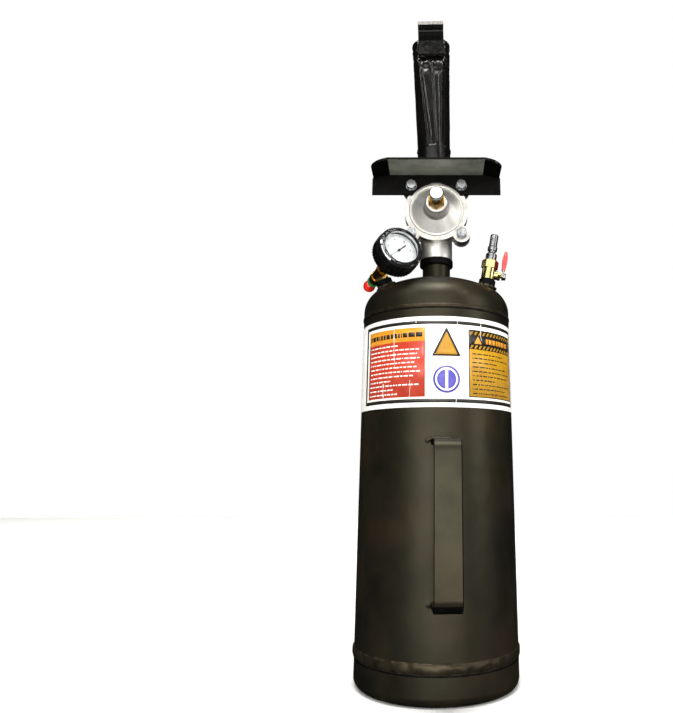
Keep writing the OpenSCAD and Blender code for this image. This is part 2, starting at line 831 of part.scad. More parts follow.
module handle_bar() {
    color("#111111") at_valve() translate([0, 0, cover_t]) {
        linear_extrude(bar_t) bar_web();
        translate([-shelf_half, bar_high, 0]) cube([2 * shelf_half, bar_t, shelf_depth]);
        for (side = [0, 1]) mirror([side, 0, 0])
            translate([shelf_half, bar_high + bar_t, 0]) rotate([0, 0, -wing_slope])
                rotate([90, 0, 0]) shelf_wing();
    }
}

// ---- Outlet and barrel ----

module outlet_nipple() {
    color("#1b1a19") translate([0, -port_stop, valve_z]) rotate([-90, 0, 0])
        tube(elbow_y0 + elbow_arm + port_stop, nipple_r, nipple_r - nipple_wall);
}

// Quarter bend of the radius given, from along +Y to along +Z
module quarter(radius) {
    translate([0, elbow_y0 + elbow_arm, elbow_bend]) rotate([0, 90, 0])
        rotate_extrude(angle = 90) translate([elbow_bend, 0]) circle(radius);
}

module outlet_elbow() {
    bore = elbow_r - elbow_wall;
    band_low = 6;
    color("#161616") at_barrel() difference() {
        union() {
            quarter(elbow_r);
            translate([0, elbow_y0, 0]) rotate([-90, 0, 0]) cylinder(h = elbow_arm, r = nipple_r + arm_wall);
            translate([0, barrel_y, elbow_bend]) cylinder(h = band_low + 1, r = elbow_r);
            translate([0, barrel_y, elbow_bend + band_low])
                cylinder(h = socket_top - elbow_bend - band_low, r = elbow_band_r);
        }
        quarter(bore);
        translate([0, elbow_y0 - 1, 0]) rotate([-90, 0, 0]) cylinder(h = elbow_arm + 1, r = nipple_r);
        translate([0, barrel_y, elbow_bend]) cylinder(h = socket_top, r = bore);
        translate([0, barrel_y, socket_low]) cylinder(h = socket_top, r = barrel_r);
    }
}

module barrel_pipe() {
    color("#0f0f10") at_barrel() translate([0, barrel_y, socket_low])
        tube(barrel_seam - socket_low, barrel_r, barrel_r - barrel_wall);
}

// Flat-sided oval of the mouth, taken in by the thickness given
module mouth_oval(inward) {
    end_r = mouth_d / 2 - inward;
    reach = (mouth_w - mouth_d) / 2;
    square([2 * reach, 2 * end_r], center = true);
    for (x = [-reach, reach]) translate([x, 0]) circle(end_r);
}

// Loft from the round pipe to the flattened mouth
module flare(inward, over) {
    hull() {
        translate([0, 0, barrel_seam - over]) linear_extrude(loft_cap + over) circle(barrel_r - inward);
        translate([0, 0, barrel_top - loft_cap]) linear_extrude(loft_cap + over) mouth_oval(inward);
    }
}

module barrel() {
    color("#0f0f10") at_barrel() translate([0, barrel_y, 0]) difference() {
        flare(0, 0);
        flare(barrel_wall, 0.4);
    }
}

module rim_hook() {
    face = barrel_y - mouth_d / 2;
    tip_z = barrel_top + hook_rise;
    bend_r = hook_t + 2;
    slope = atan((barrel_r - mouth_d / 2) / (barrel_top - barrel_seam));
    color("#0c0c0c") at_barrel() rotate([90, 0, 90]) translate([0, 0, -hook_w / 2])
        linear_extrude(hook_w) {
            translate([face - hook_t, barrel_top]) square([hook_t, hook_rise - 2]);
            translate([face, barrel_top]) rotate(-slope) translate([-hook_t, -hook_root])
                square([hook_t, hook_root + 0.5]);
            translate([face - bend_r, tip_z - 2]) intersection() {
                difference() {
                    circle(bend_r);
                    circle(bend_r - hook_t);
                }
                square(bend_r);
            }
            translate([face - hook_t - hook_tip, tip_z]) square([hook_tip - 2, hook_t]);
        }
}

// ---- Pressure gauge and relief valve ----

module brass_tee() {
    leg_hex = boss_thread_r * 2 + 2;
    leg_hex_h = 4.6;
    band_w = 3;
    passage_r = 2;
    leg_bore_r = 2.5;
    color("#b8964a") at_gauge() difference() {
        union() {
            translate([0, 0, -tee_half]) cylinder(h = 2 * tee_half, r = tee_r);
            rotate([90, 0, 0]) cylinder(h = tee_rise - 0.1, r = tee_r - 0.7);
            translate([0, -tee_rise, 0]) rotate([-90, 0, 0]) hex(leg_hex_h, leg_hex);
            rotate([90, 0, 0]) cylinder(h = tee_rise + boss_h + 1, r = boss_thread_r);
            for (end = [-tee_half, tee_half - band_w])
                translate([0, 0, end]) cylinder(h = band_w, r = tee_r + 0.8);
        }
        translate([0, 0, stem_in]) cylinder(h = tee_half, r = stem_thread_r);
        translate([0, 0, -tee_half - 1]) cylinder(h = tee_half - relief_in + 1, r = stem_thread_r);
        translate([0, 0, -tee_half]) cylinder(h = 2 * tee_half, r = passage_r);
        rotate([90, 0, 0]) cylinder(h = tee_rise + boss_h + 2, r = leg_bore_r);
    }
}

module gauge_stem() {
    hex_h = 8;
    stem_bore_r = 1.2;
    color("#c8ab5c") at_gauge() difference() {
        union() {
            translate([0, 0, stem_in + 0.5]) cylinder(h = tee_half - stem_in - 0.2, r = stem_thread_r);
            translate([0, 0, tee_half + 0.2]) rotate(20) turned_hex(hex_h, stem_af, 0.6);
            translate([0, 0, tee_half + hex_h]) cylinder(h = case_back - tee_half - hex_h, r = stem_neck_r);
            translate([0, 0, case_back - 0.1]) cylinder(h = stem_end_h, r = stem_end_r);
        }
        translate([0, 0, stem_in]) cylinder(h = case_back, r = stem_bore_r);
    }
}

module gauge_case() {
    color("#26272a") at_gauge() difference() {
        translate([0, 0, case_back]) cylinder(h = case_depth, r = case_r);
        translate([0, 0, case_back + case_wall]) cylinder(h = case_depth, r = case_r - case_wall);
        translate([0, 0, case_back - 1]) cylinder(h = case_depth, r = stem_end_r);
    }
}

module gauge_boot() {
    rib_r = 1.2;
    color("#141414") at_gauge() difference() {
        union() {
            translate([0, 0, gauge_reach]) cylinder(h = case_front - gauge_reach, r = boot_r);
            translate([0, 0, gauge_reach + 1]) linear_extrude(case_depth - 5)
                for (k = [0:boot_ribs - 1]) rotate(k * 360 / boot_ribs)
                    translate([boot_r - 0.2, 0]) circle(rib_r);
        }
        translate([0, 0, case_back]) cylinder(h = 2 * case_depth, r = case_r);
        translate([0, 0, gauge_reach - 1]) cylinder(h = boot_back + 2, r = stem_neck_r);
    }
}

module gauge_bezel() {
    color("#e9eaea") at_gauge() difference() {
        union() {
            translate([0, 0, lens_at]) cylinder(h = case_front - lens_at, r = case_r - case_wall);
            translate([0, 0, case_front]) cylinder(h = bezel_front - case_front - 0.8, r = bezel_r);
            translate([0, 0, bezel_front - 0.8]) cylinder(h = 0.8, r1 = bezel_r, r2 = bezel_r - 0.8);
        }
        translate([0, 0, lens_at - 1]) cylinder(h = lens_t + 1, r = bezel_in_r + 1);
        translate([0, 0, lens_at]) cylinder(h = 10, r = bezel_in_r);
    }
}

module gauge_lens() {
    color([0.9, 0.95, 1, 0.4]) at_gauge() translate([0, 0, lens_at])
        cylinder(h = lens_t, r = bezel_in_r + 1);
}

module gauge_dial() {
    color("#f4f5f3") at_gauge() translate([0, 0, dial_at])
        tube(0.6, dial_r, 1);
}

module gauge_needle() {
    tip = dial_r - 6;
    tail = 10.5;
    rest_angle = -90 - (360 - needle_sweep) / 2 - dial_turn;
    color("#101010") at_gauge() {
        translate([0, 0, needle_at]) rotate(rest_angle) linear_extrude(0.5)
            polygon([[tip, 0], [-tail, 0.8], [-tail, -0.8]]);
        translate([0, 0, needle_at - 0.1]) cylinder(h = 0.9, r = 1.6);
        translate([0, 0, dial_at - 3]) cylinder(h = needle_at - dial_at + 3, r = spindle_r);
    }
}

module gauge_tube() {
    tube_sweep = 250;
    tube_r = case_r - 7.5;
    tube_low = case_back + 4.5;
    color("#b9945a") at_gauge() translate([0, 0, tube_low]) rotate(-130)
        rotate_extrude(angle = tube_sweep) translate([tube_r, 0]) square([1.6, dial_at - tube_low - 1.5]);
}

module gauge_movement() {
    plate = [9, 11, 1];
    foot = [6, 3, 3];
    plate_low = dial_at - 3.4;
    post_low = case_back + case_wall + foot[2] - 0.3;
    color("#c2a35c") at_gauge() difference() {
        union() {
            translate([-plate[0] / 2, -plate[1] / 2, plate_low]) cube(plate);
            translate([0, -plate[1] / 2, post_low]) cylinder(h = plate_low + 0.5 - post_low, r = 1);
            translate([-foot[0] / 2, -plate[1] / 2 - 0.5, case_back + case_wall]) cube(foot);
        }
        translate([0, 0, plate_low - 2]) cylinder(h = 8, r = spindle_r + move_gap);
        translate([0, 0, case_back]) cylinder(h = stem_end_h + 0.2, r = stem_end_r + 0.1);
    }
}

// The relief valve points out of the tee's back, so its Z runs away from the gauge
module at_relief() {
    at_gauge() mirror([0, 0, 1]) children();
}

module relief_body() {
    color("#b58f42") at_relief() difference() {
        union() {
            translate([0, 0, relief_in]) cylinder(h = tee_half - relief_in + 0.1, r = stem_thread_r);
            translate([0, 0, relief_start + 0.1]) turned_hex(relief_hex_h, relief_af, 0.6);
            translate([0, 0, relief_start + 1]) cylinder(h = relief_end - relief_start - 1, r = relief_r);
        }
        translate([0, 0, relief_seat])
            cylinder(h = relief_cavity_end - relief_seat, r = poppet_r + move_gap);
        cylinder(h = relief_end + 1, r = rod_r + run_gap);
    }
}

module relief_band() {
    color("#2f7a3a") at_relief() translate([0, 0, relief_end - (relief_tail + band_h) / 2 + 0.1])
        tube(band_h, relief_r + band_t, relief_r);
}

module relief_poppet() {
    color("#caa95c") at_relief() translate([0, 0, relief_seat + move_gap]) {
        cylinder(h = poppet_h, r = poppet_r);
        cylinder(h = knob_at - relief_seat - 1, r = rod_r);
    }
}

module relief_knob() {
    color("#c8201c") at_relief() difference() {
        translate([0, 0, knob_at]) sphere(knob_r);
        cylinder(h = knob_at - 1 + move_gap, r = rod_r);
        cylinder(h = knob_at - knob_r + 0.8, r = knob_r);
    }
}

module relief_spring() {
    end_gap = 0.1;
    wire_r = 0.3;
    low = relief_seat + move_gap + poppet_h + end_gap;
    color("#c9ccce") at_relief() translate([0, 0, low])
        coil(rod_r + 0.7, wire_r, relief_cavity_end - low - end_gap, 8);
}

// ---- Air inlet valve ----

module ball_valve_body() {
    hub_r = stem_r + 2.6;
    color("#c4a55a") difference() {
        union() {
            at_inlet_port() {
                translate([0, 0, -2]) cylinder(h = boss_h + 2.1, r = boss_thread_r);
                translate([0, 0, tap_z0]) cylinder(h = 1, r1 = tap_r - 0.8, r2 = tap_r);
                translate([0, 0, tap_z0 + 1]) cylinder(h = tap_h - 1, r = tap_r);
            }
            at_stem() cylinder(h = packing_in, r = hub_r);
        }
        at_inlet_port() {
            translate([0, 0, -3]) cylinder(h = ball_z + 3, r = ball_bore_r);
            translate([0, 0, ball_z - tap_cavity_r - seat_slack])
                cylinder(h = tap_h, r = tap_cavity_r);
        }
        at_stem() cylinder(h = packing_in + 1, r = stem_r + run_gap);
    }
}

module end_nut() {
    spigot_low = ball_z + tap_cavity_r + 0.1 + seat_slack;
    color("#cbb070") at_inlet_port() difference() {
        union() {
            translate([0, 0, tap_top]) turned_hex(end_h, end_af, 1.6);
            translate([0, 0, spigot_low]) cylinder(h = tap_top - spigot_low + 0.1, r = tap_cavity_r);
        }
        translate([0, 0, spigot_low - 1]) cylinder(h = end_top - spigot_low + 2, r = ball_bore_r);
        translate([0, 0, tap_top + 1]) cylinder(h = end_h, r = plug_thread_r);
    }
}

module flow_ball() {
    color("#d9dbdc") at_inlet_port() translate([0, 0, ball_z]) difference() {
        sphere(ball_r);
        translate([0, 0, -2 * ball_r]) cylinder(h = 4 * ball_r, r = ball_bore_r);
        rotate([0, 90, 0]) translate([0, 0, ball_r - slot_depth]) cylinder(h = ball_r, r = stem_r);
    }
}

module ball_seats() {
    seat_gap = 0.25;
    color("#f0f0ea") at_inlet_port() for (side = [-1, 1]) difference() {
        translate([0, 0, ball_z + side * (tap_cavity_r + seat_slack / 2 - seat_ring_h / 2) - seat_ring_h / 2])
            cylinder(h = seat_ring_h, r = tap_cavity_r);
        translate([0, 0, ball_z]) sphere(ball_r + seat_gap);
        translate([0, 0, ball_z - 2 * ball_r]) cylinder(h = 4 * ball_r, r = ball_bore_r);
    }
}

module ball_stem() {
    stem_low = ball_r - slot_depth;
    color("#c7b06c") at_stem() translate([0, 0, stem_low])
        cylinder(h = lever_out + lever_t + 3 - stem_low, r = stem_r);
}

module packing_nut() {
    color("#c9ab5e") at_stem() translate([0, 0, packing_in]) difference() {
        rotate(30) turned_hex(packing_h, 2 * stem_r + 4.6, 0.5);
        translate([0, 0, -1]) cylinder(h = packing_h + 2, r = stem_r + run_gap);
    }
}

// The lever's outline lies along -X of the stem frame, which is up the stack
module lever() {
    eye_r = stem_r + 2.2;
    blade_w = lever_w - 2.4;
    color("#c9cccd") at_stem() translate([0, 0, lever_out]) linear_extrude(lever_t) difference() {
        union() {
            circle(eye_r);
            translate([-lever_len + 2, -blade_w / 2]) square([lever_len - 2, blade_w]);
        }
        circle(stem_r);
    }
}

module lever_grip() {
    color("#b3262b") at_stem() translate([0, 0, lever_out - grip_wall]) difference() {
        hull() {
            translate([-grip_start, 0, 0.9])
                cylinder(h = grip_t - 1.8, r = lever_w / 2 - 0.9, $fn = 32);
            translate([-lever_len * grip_swell, 0, 0]) cylinder(h = grip_t, r = lever_w / 2, $fn = 32);
            translate([1.6 - lever_len, 0, 1.2]) cylinder(h = grip_t - 2.4, r = 1.6, $fn = 32);
        }
        translate([2 - lever_len, 1.2 - lever_w / 2, grip_wall])
            cube([lever_len, lever_w - 2.4, lever_t]);
    }
}

module lever_nut() {
    nut_h = 2.8;
    color("#c9cccd") at_stem() translate([0, 0, lever_out + lever_t]) difference() {
        turned_hex(nut_h, 2 * stem_r + 2.6, 0.4);
        translate([0, 0, -1]) cylinder(h = nut_h + 2, r = stem_r);
    }
}

module air_plug() {
    body_r = plug_tip_r + 1.6;
    shoulder_r = plug_tip_r + 0.8;
    round_r = 1.6;
    taper_h = 1.5;
    color("#cfd2d3") at_inlet_port() difference() {
        union() {
            translate([0, 0, tap_top + 1.2]) cylinder(h = plug_z - tap_top, r = plug_thread_r);
            translate([0, 0, plug_z]) cylinder(h = plug_body_h - taper_h, r = body_r);
            translate([0, 0, plug_z + plug_body_h - taper_h])
                cylinder(h = taper_h, r1 = body_r, r2 = plug_tip_r);
            translate([0, 0, plug_z]) cylinder(h = plug_body_h + plug_neck_h + 1, r = plug_tip_r - 0.6);
            translate([0, 0, plug_tip_z - plug_shoulder_h])
                cylinder(h = plug_shoulder_h - 1, r = shoulder_r);
            translate([0, 0, plug_tip_z - 1]) cylinder(h = 1, r1 = shoulder_r, r2 = plug_tip_r);
            translate([0, 0, plug_tip_z - 1]) cylinder(h = plug_tip_len + 1 - round_r, r = plug_tip_r);
            translate([0, 0, plug_tip_z + plug_tip_len - round_r]) ring(plug_tip_r - round_r, round_r);
            translate([0, 0, plug_tip_z - 1]) cylinder(h = plug_tip_len + 1, r = plug_tip_r - round_r);
        }
        translate([0, 0, tap_top]) cylinder(h = plug_tip_z + plug_tip_len, r = plug_bore_r);
    }
}

tank_shell();
top_head();
bottom_head();
seam_welds();
carry_handle();
label();
outlet_stub();
stub_collar();
gauge_boss();
inlet_boss();
valve_body();
valve_cover();
diaphragm();
diaphragm_plate();
main_spring();
cover_bolts();
spring_washers();
flat_washers();
pilot_body();
pilot_button();
pilot_seal();
pilot_spring();
handle_bar();
outlet_nipple();
outlet_elbow();
barrel_pipe();
barrel();
rim_hook();
brass_tee();
gauge_stem();
gauge_case();
gauge_boot();
gauge_bezel();
gauge_lens();
gauge_dial();
gauge_needle();
gauge_tube();
gauge_movement();
relief_body();
relief_band();
relief_poppet();
relief_knob();
relief_spring();
ball_valve_body();
end_nut();
flow_ball();
ball_seats();
ball_stem();
packing_nut();
lever();
lever_grip();
lever_nut();
air_plug();
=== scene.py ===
# %% [markdown]
# # A hand-held tyre bead seater
# The CAD model already holds every part at its real size. This lesson gives it its looks:
# welds that are lumpy, sheet that is folded, paint that has been handled, and cast, turned
# and plated metals. The first step only loads the CAD model. Nothing that follows may make
# the object bigger.

# %% Load the CAD frame
import json
import math
import bpy
import bmesh
from mathutils import Matrix, Vector, noise


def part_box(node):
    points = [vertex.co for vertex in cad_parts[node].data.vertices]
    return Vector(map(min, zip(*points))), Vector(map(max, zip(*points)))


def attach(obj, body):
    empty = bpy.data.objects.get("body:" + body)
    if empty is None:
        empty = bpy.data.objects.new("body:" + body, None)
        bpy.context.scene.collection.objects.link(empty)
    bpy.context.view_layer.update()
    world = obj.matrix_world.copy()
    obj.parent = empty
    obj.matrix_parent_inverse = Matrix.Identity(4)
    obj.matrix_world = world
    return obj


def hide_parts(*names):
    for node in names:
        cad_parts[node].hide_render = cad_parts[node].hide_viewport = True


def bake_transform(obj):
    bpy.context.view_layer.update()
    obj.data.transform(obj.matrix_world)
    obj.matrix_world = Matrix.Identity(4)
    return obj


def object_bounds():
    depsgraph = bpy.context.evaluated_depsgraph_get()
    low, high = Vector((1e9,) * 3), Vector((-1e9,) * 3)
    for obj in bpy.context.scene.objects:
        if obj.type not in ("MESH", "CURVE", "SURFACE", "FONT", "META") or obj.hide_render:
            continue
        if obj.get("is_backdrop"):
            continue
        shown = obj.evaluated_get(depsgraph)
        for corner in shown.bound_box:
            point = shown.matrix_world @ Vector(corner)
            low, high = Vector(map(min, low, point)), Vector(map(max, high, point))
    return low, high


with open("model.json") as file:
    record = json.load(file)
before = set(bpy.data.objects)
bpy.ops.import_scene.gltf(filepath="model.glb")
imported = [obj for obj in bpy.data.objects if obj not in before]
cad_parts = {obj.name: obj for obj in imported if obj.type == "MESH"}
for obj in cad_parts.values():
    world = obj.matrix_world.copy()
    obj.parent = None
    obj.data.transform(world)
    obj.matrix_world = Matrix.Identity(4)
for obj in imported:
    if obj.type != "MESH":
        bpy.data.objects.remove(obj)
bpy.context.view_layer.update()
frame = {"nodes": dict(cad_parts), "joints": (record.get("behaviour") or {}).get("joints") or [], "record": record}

nodes = frame["nodes"]
joints = {joint["name"]: joint for joint in frame["joints"]}
mounts = {mount["name"]: mount for mount in frame["record"]["mounts"]}
body_of = {node: body for body, members in frame["record"]["behaviour"]["bodies"].items()
           for node in members}
slot_of = {part["node"]: part["material_slot"] for part in frame["record"]["subparts"]}
MM = 0.001

# %% [markdown]
# ## Places
# The barrel leans to the left, and the gauge is tipped back and turned in. Each place
# becomes one matrix, so that a piece can be drawn upright in millimetres at its own origin
# and then set down. The positions come from the CAD boxes, joints and mounts.

# %% Matrices for the barrel and gauge
def upright(origin, up, right):
    """Matrix whose Z is up and whose X is right, standing at origin."""
    z = Vector(up).normalized()
    y = z.cross(Vector(right)).normalized()
    x = y.cross(z)
    turn = Matrix((x, y, z)).transposed().to_4x4()
    return Matrix.Translation(Vector(origin)) @ turn


def middle(node):
    low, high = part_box(node)
    return (low + high) / 2


tank_low, tank_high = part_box("tank_shell")
tank_r = tank_high.x / MM
seam_low = tank_low.z / MM
seam_top = tank_high.z / MM
valve_z = middle("pilot_button").z
cover_t = -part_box("handle_bar")[1].y / MM

mouth = mounts["barrel_mouth"]
barrel_place = upright(mouth["pos_m"], mouth["axis"], (1, 0, 0))
barrel_len = (mouth["pos_m"][2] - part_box("barrel_pipe")[1].z) / MM
pipe_r = (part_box("barrel_pipe")[1].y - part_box("barrel_pipe")[0].y) / 2 / MM

needle = joints["needle_turn"]
gauge_axis = -Vector(needle["axis"])
gauge_place = upright(needle["pos_m"], gauge_axis, (0.78, 0.5, 0.38))
dial_turn = math.radians(-28)

print("valve axis at", round(valve_z, 4), "barrel length", round(barrel_len, 1))

# %% [markdown]
# ## Colour
# Paint charts and pickers give colours as sRGB hex, but the shader works in linear light.
# One function turns the first into the second.

# %% Hex to linear
def hex_colour(code):
    def channel(pair):
        value = int(pair, 16) / 255
        return value / 12.92 if value <= 0.04045 else ((value + 0.055) / 1.055) ** 2.4
    return tuple(channel(code[i:i + 2]) for i in (1, 3, 5)) + (1.0,)


# %% [markdown]
# ## How a finish is built
# Most workshop metals have the same layers: a tone that drifts over tens of millimetres,
# a fine grain that catches light, a gloss that is uneven, and edges where the finish has
# worn. So one small function adds a shader node, and a second one wires those layers
# together. What makes paint, rubber or brass look different is the numbers, and each
# finish below says where its numbers come from.

# %% One node, and one layered finish
def add_node(tree, kind, inputs=None, **settings):
    node = tree.nodes.new(kind)
    for key, value in settings.items():
        setattr(node, key, value)
    for socket, value in (inputs or {}).items():
        if isinstance(value, bpy.types.NodeSocket):
            tree.links.new(value, node.inputs[socket])
        else:
            node.inputs[socket].default_value = value
    return node


MIX_FACTOR, MIX_A, MIX_B, MIX_RESULT = 0, 6, 7, 2
stain_mm = 75  # how broad a stain is
swell_wave_mm = 28  # length of the swell in rolled plate
chip_mm = 2.5  # size of a chip where paint has worn
coat_roughness = 0.08


def mix_colour(tree, factor, first, second):
    inputs = {MIX_FACTOR: factor, MIX_A: first, MIX_B: second}
    return add_node(tree, "ShaderNodeMix", inputs, data_type="RGBA").outputs[MIX_RESULT]


def finish(name, dark, light, patch_mm, grain_mm, grain_depth_mm, gloss, metallic=0.0,
           stretch=(1, 1, 1), worn=None, worn_from=0.55, swell_mm=0.0, coat=0.0,
           shine=0.5, tint="#ffffff", stain=None):
    """A layered finish. gloss is (least, most) roughness; sizes are millimetres."""
    material = bpy.data.materials.new(name)
    material.use_nodes = True
    tree = material.node_tree
    shader = tree.nodes["Principled BSDF"]
    place = add_node(tree, "ShaderNodeTexCoord").outputs["Object"]
    along = add_node(tree, "ShaderNodeMapping", {"Vector": place, "Scale": stretch})
    patches = add_node(tree, "ShaderNodeTexNoise", {
        "Vector": along.outputs[0], "Scale": 1 / (patch_mm * MM), "Detail": 5.0,
        "Roughness": 0.6}).outputs["Fac"]
    tone = add_node(tree, "ShaderNodeMapRange", {
        "Value": patches, "From Min": 0.34, "From Max": 0.66}).outputs[0]
    colour = mix_colour(tree, tone, hex_colour(dark), hex_colour(light))
    if stain:
        broad = add_node(tree, "ShaderNodeTexNoise", {
            "Vector": place, "Scale": 1 / (stain_mm * MM), "Detail": 4.0, "Roughness": 0.65})
        stained = add_node(tree, "ShaderNodeMapRange", {
            "Value": broad.outputs["Fac"], "From Min": 0.48, "From Max": 0.66}).outputs[0]
        colour = mix_colour(tree, stained, colour, hex_colour(stain))
    grain = add_node(tree, "ShaderNodeTexNoise", {
        "Vector": along.outputs[0], "Scale": 1 / (grain_mm * MM), "Detail": 3.0})
    rough = add_node(tree, "ShaderNodeMapRange", {
        "Value": patches, "From Min": 0.3, "From Max": 0.7, "To Min": gloss[1],
        "To Max": gloss[0]}).outputs[0]
    if worn:
        sharp = add_node(tree, "ShaderNodeNewGeometry").outputs["Pointiness"]
        broken = add_node(tree, "ShaderNodeTexNoise", {
            "Vector": place, "Scale": 1 / (chip_mm * MM), "Detail": 4.0}).outputs["Fac"]
        scatter = add_node(tree, "ShaderNodeMath", {0: broken, 1: 0.12, 2: sharp},
                           operation="MULTIPLY_ADD")
        bare = add_node(tree, "ShaderNodeMapRange", {
            "Value": scatter.outputs[0], "From Min": worn_from + 0.05,
            "From Max": worn_from + 0.12}).outputs[0]
        joined = add_node(tree, "ShaderNodeAttribute", attribute_type="OBJECT",
                          attribute_name="joined_mesh").outputs["Fac"]
        rubbed = add_node(tree, "ShaderNodeMath", {0: bare, 1: joined}, operation="MULTIPLY")
        colour = mix_colour(tree, rubbed.outputs[0], colour, hex_colour(worn))
    bump = add_node(tree, "ShaderNodeBump", {
        "Height": grain.outputs["Fac"], "Distance": grain_depth_mm * MM, "Strength": 1.0})
    if swell_mm:
        swell = add_node(tree, "ShaderNodeTexNoise", {
            "Vector": place, "Scale": 1 / (swell_wave_mm * MM), "Detail": 1.0}).outputs["Fac"]
        wide = add_node(tree, "ShaderNodeBump", {
            "Height": swell, "Distance": swell_mm * MM, "Strength": 1.0})
        tree.links.new(wide.outputs[0], bump.inputs["Normal"])
    tree.links.new(colour, shader.inputs["Base Color"])
    tree.links.new(rough, shader.inputs["Roughness"])
    tree.links.new(bump.outputs[0], shader.inputs["Normal"])
    shader.inputs["Metallic"].default_value = metallic
    shader.inputs["Specular IOR Level"].default_value = shine
    shader.inputs["Specular Tint"].default_value = hex_colour(tint)
    shader.inputs["Coat Weight"].default_value = coat
    shader.inputs["Coat Roughness"].default_value = coat_roughness
    return material


# %% [markdown]
# ## The paints
# The tank is rolled and pressed steel, sprayed with a satin black that has gone slightly
# brown. Spray leaves an orange peel a little over a millimetre across, and rolled plate is
# never quite flat, so the finish swells by a fraction of a millimetre over a few
# centimetres. The welds take the same paint, but their skin is coarse and browner. The
# barrel, the bar and the pipes are glossier.

# %% Satin, weld and gloss black paint
tank_paint = finish("satin_black_sprayed_steel", "#0c0b08", "#1a1812", 45, 1.3, 0.03,
                    (0.34, 0.46), worn="#2c2920", worn_from=0.56, swell_mm=0.5,
                    shine=0.36, tint="#f4ecc8", stain="#211a11")
weld_paint = finish("black_painted_weld_bead", "#0d0c08", "#221e16", 7, 1.1, 0.04,
                    (0.34, 0.46), worn="#3c382c", worn_from=0.56, shine=0.45, tint="#ffe9c4")
gloss_paint = finish("gloss_black_sprayed_steel", "#050505", "#0c0b0a", 40, 1.6, 0.012,
                     (0.16, 0.26), worn="#24221e", worn_from=0.58, swell_mm=0.2,
                     shine=0.4)
# The dull black is painted shade: its darker colour and weak shine stand in for the shade in creases, gaps,
# recesses and on faces turned from the light.
shade_dull_paint = finish("painted_shade_dull_black", "#030303", "#090807", 12, 0.9, 0.03,
                    (0.5, 0.65), worn="#141311", worn_from=0.58, shine=0.08)
# The grey paint is painted light: its paler colour stands in for the light that the shelf's underside catches from
# below.
lit_grey_paint = finish("painted_light_grey", "#4c4e46", "#63655c", 18, 0.8, 0.02,
                    (0.4, 0.5), worn="#2c2a26", worn_from=0.57, shine=0.5)
print("paints:", len(bpy.data.materials))

# %% [markdown]
# ## The metals
# Sand-cast aluminium keeps the grain of the sand, about half a millimetre, and scatters
# light widely. Zinc-plated bolts are bright and a little uneven. Turned brass has fine
# rings and a thin tarnish in patches. The button and the gauge's ring are chrome, which is
# smooth and nearly without colour. Metals keep the default IOR, since their colour already
# says how much light they reflect.

# %% Cast, plated, turned and polished metals
cast_metal = finish("sand_cast_aluminium", "#a3a19b", "#c2c0ba", 9, 0.7, 0.05,
                    (0.26, 0.4), metallic=1.0, worn="#cfccc6", worn_from=0.56)
# A paler copy of the cast finish is painted light: it stands in for the bright light on the valve's body and the
# dome of its cover.
pale_lit_cast = finish("painted_light_cast_aluminium", "#e3e1db", "#f6f5f1", 8, 0.5, 0.02,
                       (0.42, 0.56), metallic=1.0, worn="#fbfaf7", worn_from=0.57)
zinc = finish("bright_zinc_plated_steel", "#75787b", "#a0a2a4", 4, 0.5, 0.012,
              (0.16, 0.32), metallic=1.0, worn="#8b8a86", worn_from=0.62)
brass = finish("turned_brass", "#8f6c2c", "#c09c50", 5, 0.4, 0.012,
               (0.16, 0.32), metallic=1.0, worn="#efd595", worn_from=0.57)
pale_brass = finish("nickel_washed_brass", "#a0935c", "#cabf8e", 5, 0.4, 0.012,
                    (0.14, 0.28), metallic=1.0, worn="#f4ecc8", worn_from=0.57)
chrome = finish("polished_chrome", "#b4b6b8", "#d0d1d1", 7, 0.8, 0.003,
                (0.04, 0.1), metallic=1.0)
spring_wire = finish("drawn_spring_wire", "#8f9194", "#b4b6b8", 3, 0.3, 0.01,
                     (0.22, 0.36), metallic=1.0)
bare_steel = finish("saw_cut_steel", "#4c4b48", "#a5a39e", 2.0, 0.3, 0.05,
                    (0.3, 0.5), metallic=1.0, stretch=(1, 1, 6))

# %% [markdown]
# ## Rubber, plastics, dial and inks
# Moulded rubber is dark and dull with a fine mould grain. The relief knob is a glossy red
# moulding, and the tap's sleeve is a dipped vinyl, softer and duller. The label is printed
# film: the inks are flat colours that have been handled, so each one drifts slightly and
# has pale rubs.

# %% Soft and printed finishes
rubber = finish("moulded_black_rubber", "#050505", "#0c0c0c", 8, 0.5, 0.03, (0.36, 0.5),
                worn="#191919", worn_from=0.56, shine=0.25)
red_plastic = finish("moulded_red_plastic", "#b3160f", "#d42a1c", 5, 0.6, 0.006,
                     (0.14, 0.24), coat=0.4)
red_vinyl = finish("dipped_red_vinyl", "#b5262a", "#d8474a", 4, 0.7, 0.03, (0.36, 0.5))
green_plastic = finish("moulded_green_plastic", "#1f5a2c", "#2f7a3e", 3, 0.5, 0.01, (0.3, 0.42))
seat_plastic = finish("turned_ptfe", "#e4e4de", "#f4f4f0", 3, 0.4, 0.01, (0.4, 0.5))
dial_white = finish("white_enamelled_dial", "#f0f4f5", "#fafcfc", 8, 0.6, 0.004, (0.3, 0.4))
dial_black = finish("black_dial_ink", "#101214", "#1c1e20", 4, 0.5, 0.004, (0.4, 0.5))
film_white = finish("white_label_film", "#ecebe6", "#fbfbf8", 25, 1.0, 0.006, (0.26, 0.36))
ink = {
    "black": finish("black_label_ink", "#14120f", "#26231d", 6, 0.8, 0.004, (0.3, 0.4)),
    "red": finish("red_label_ink", "#a82c18", "#b83f28", 12, 0.8, 0.004, (0.3, 0.4)),
    "orange": finish("orange_label_ink", "#cf8412", "#dc9524", 10, 0.8, 0.004, (0.3, 0.4)),
    "yellow": finish("yellow_label_ink", "#a8780e", "#b98c1c", 12, 0.8, 0.004, (0.3, 0.4)),
    "violet": finish("violet_label_ink", "#3f3a94", "#5750ac", 8, 0.8, 0.004, (0.3, 0.4)),
}


# %% [markdown]
# The gauge's glass is thin and flat, so light goes nearly straight through. A full glass
# shader would darken the dial, so the finish mixes clear with a mirror shine that grows at
# a slant, which is what the Fresnel node gives.

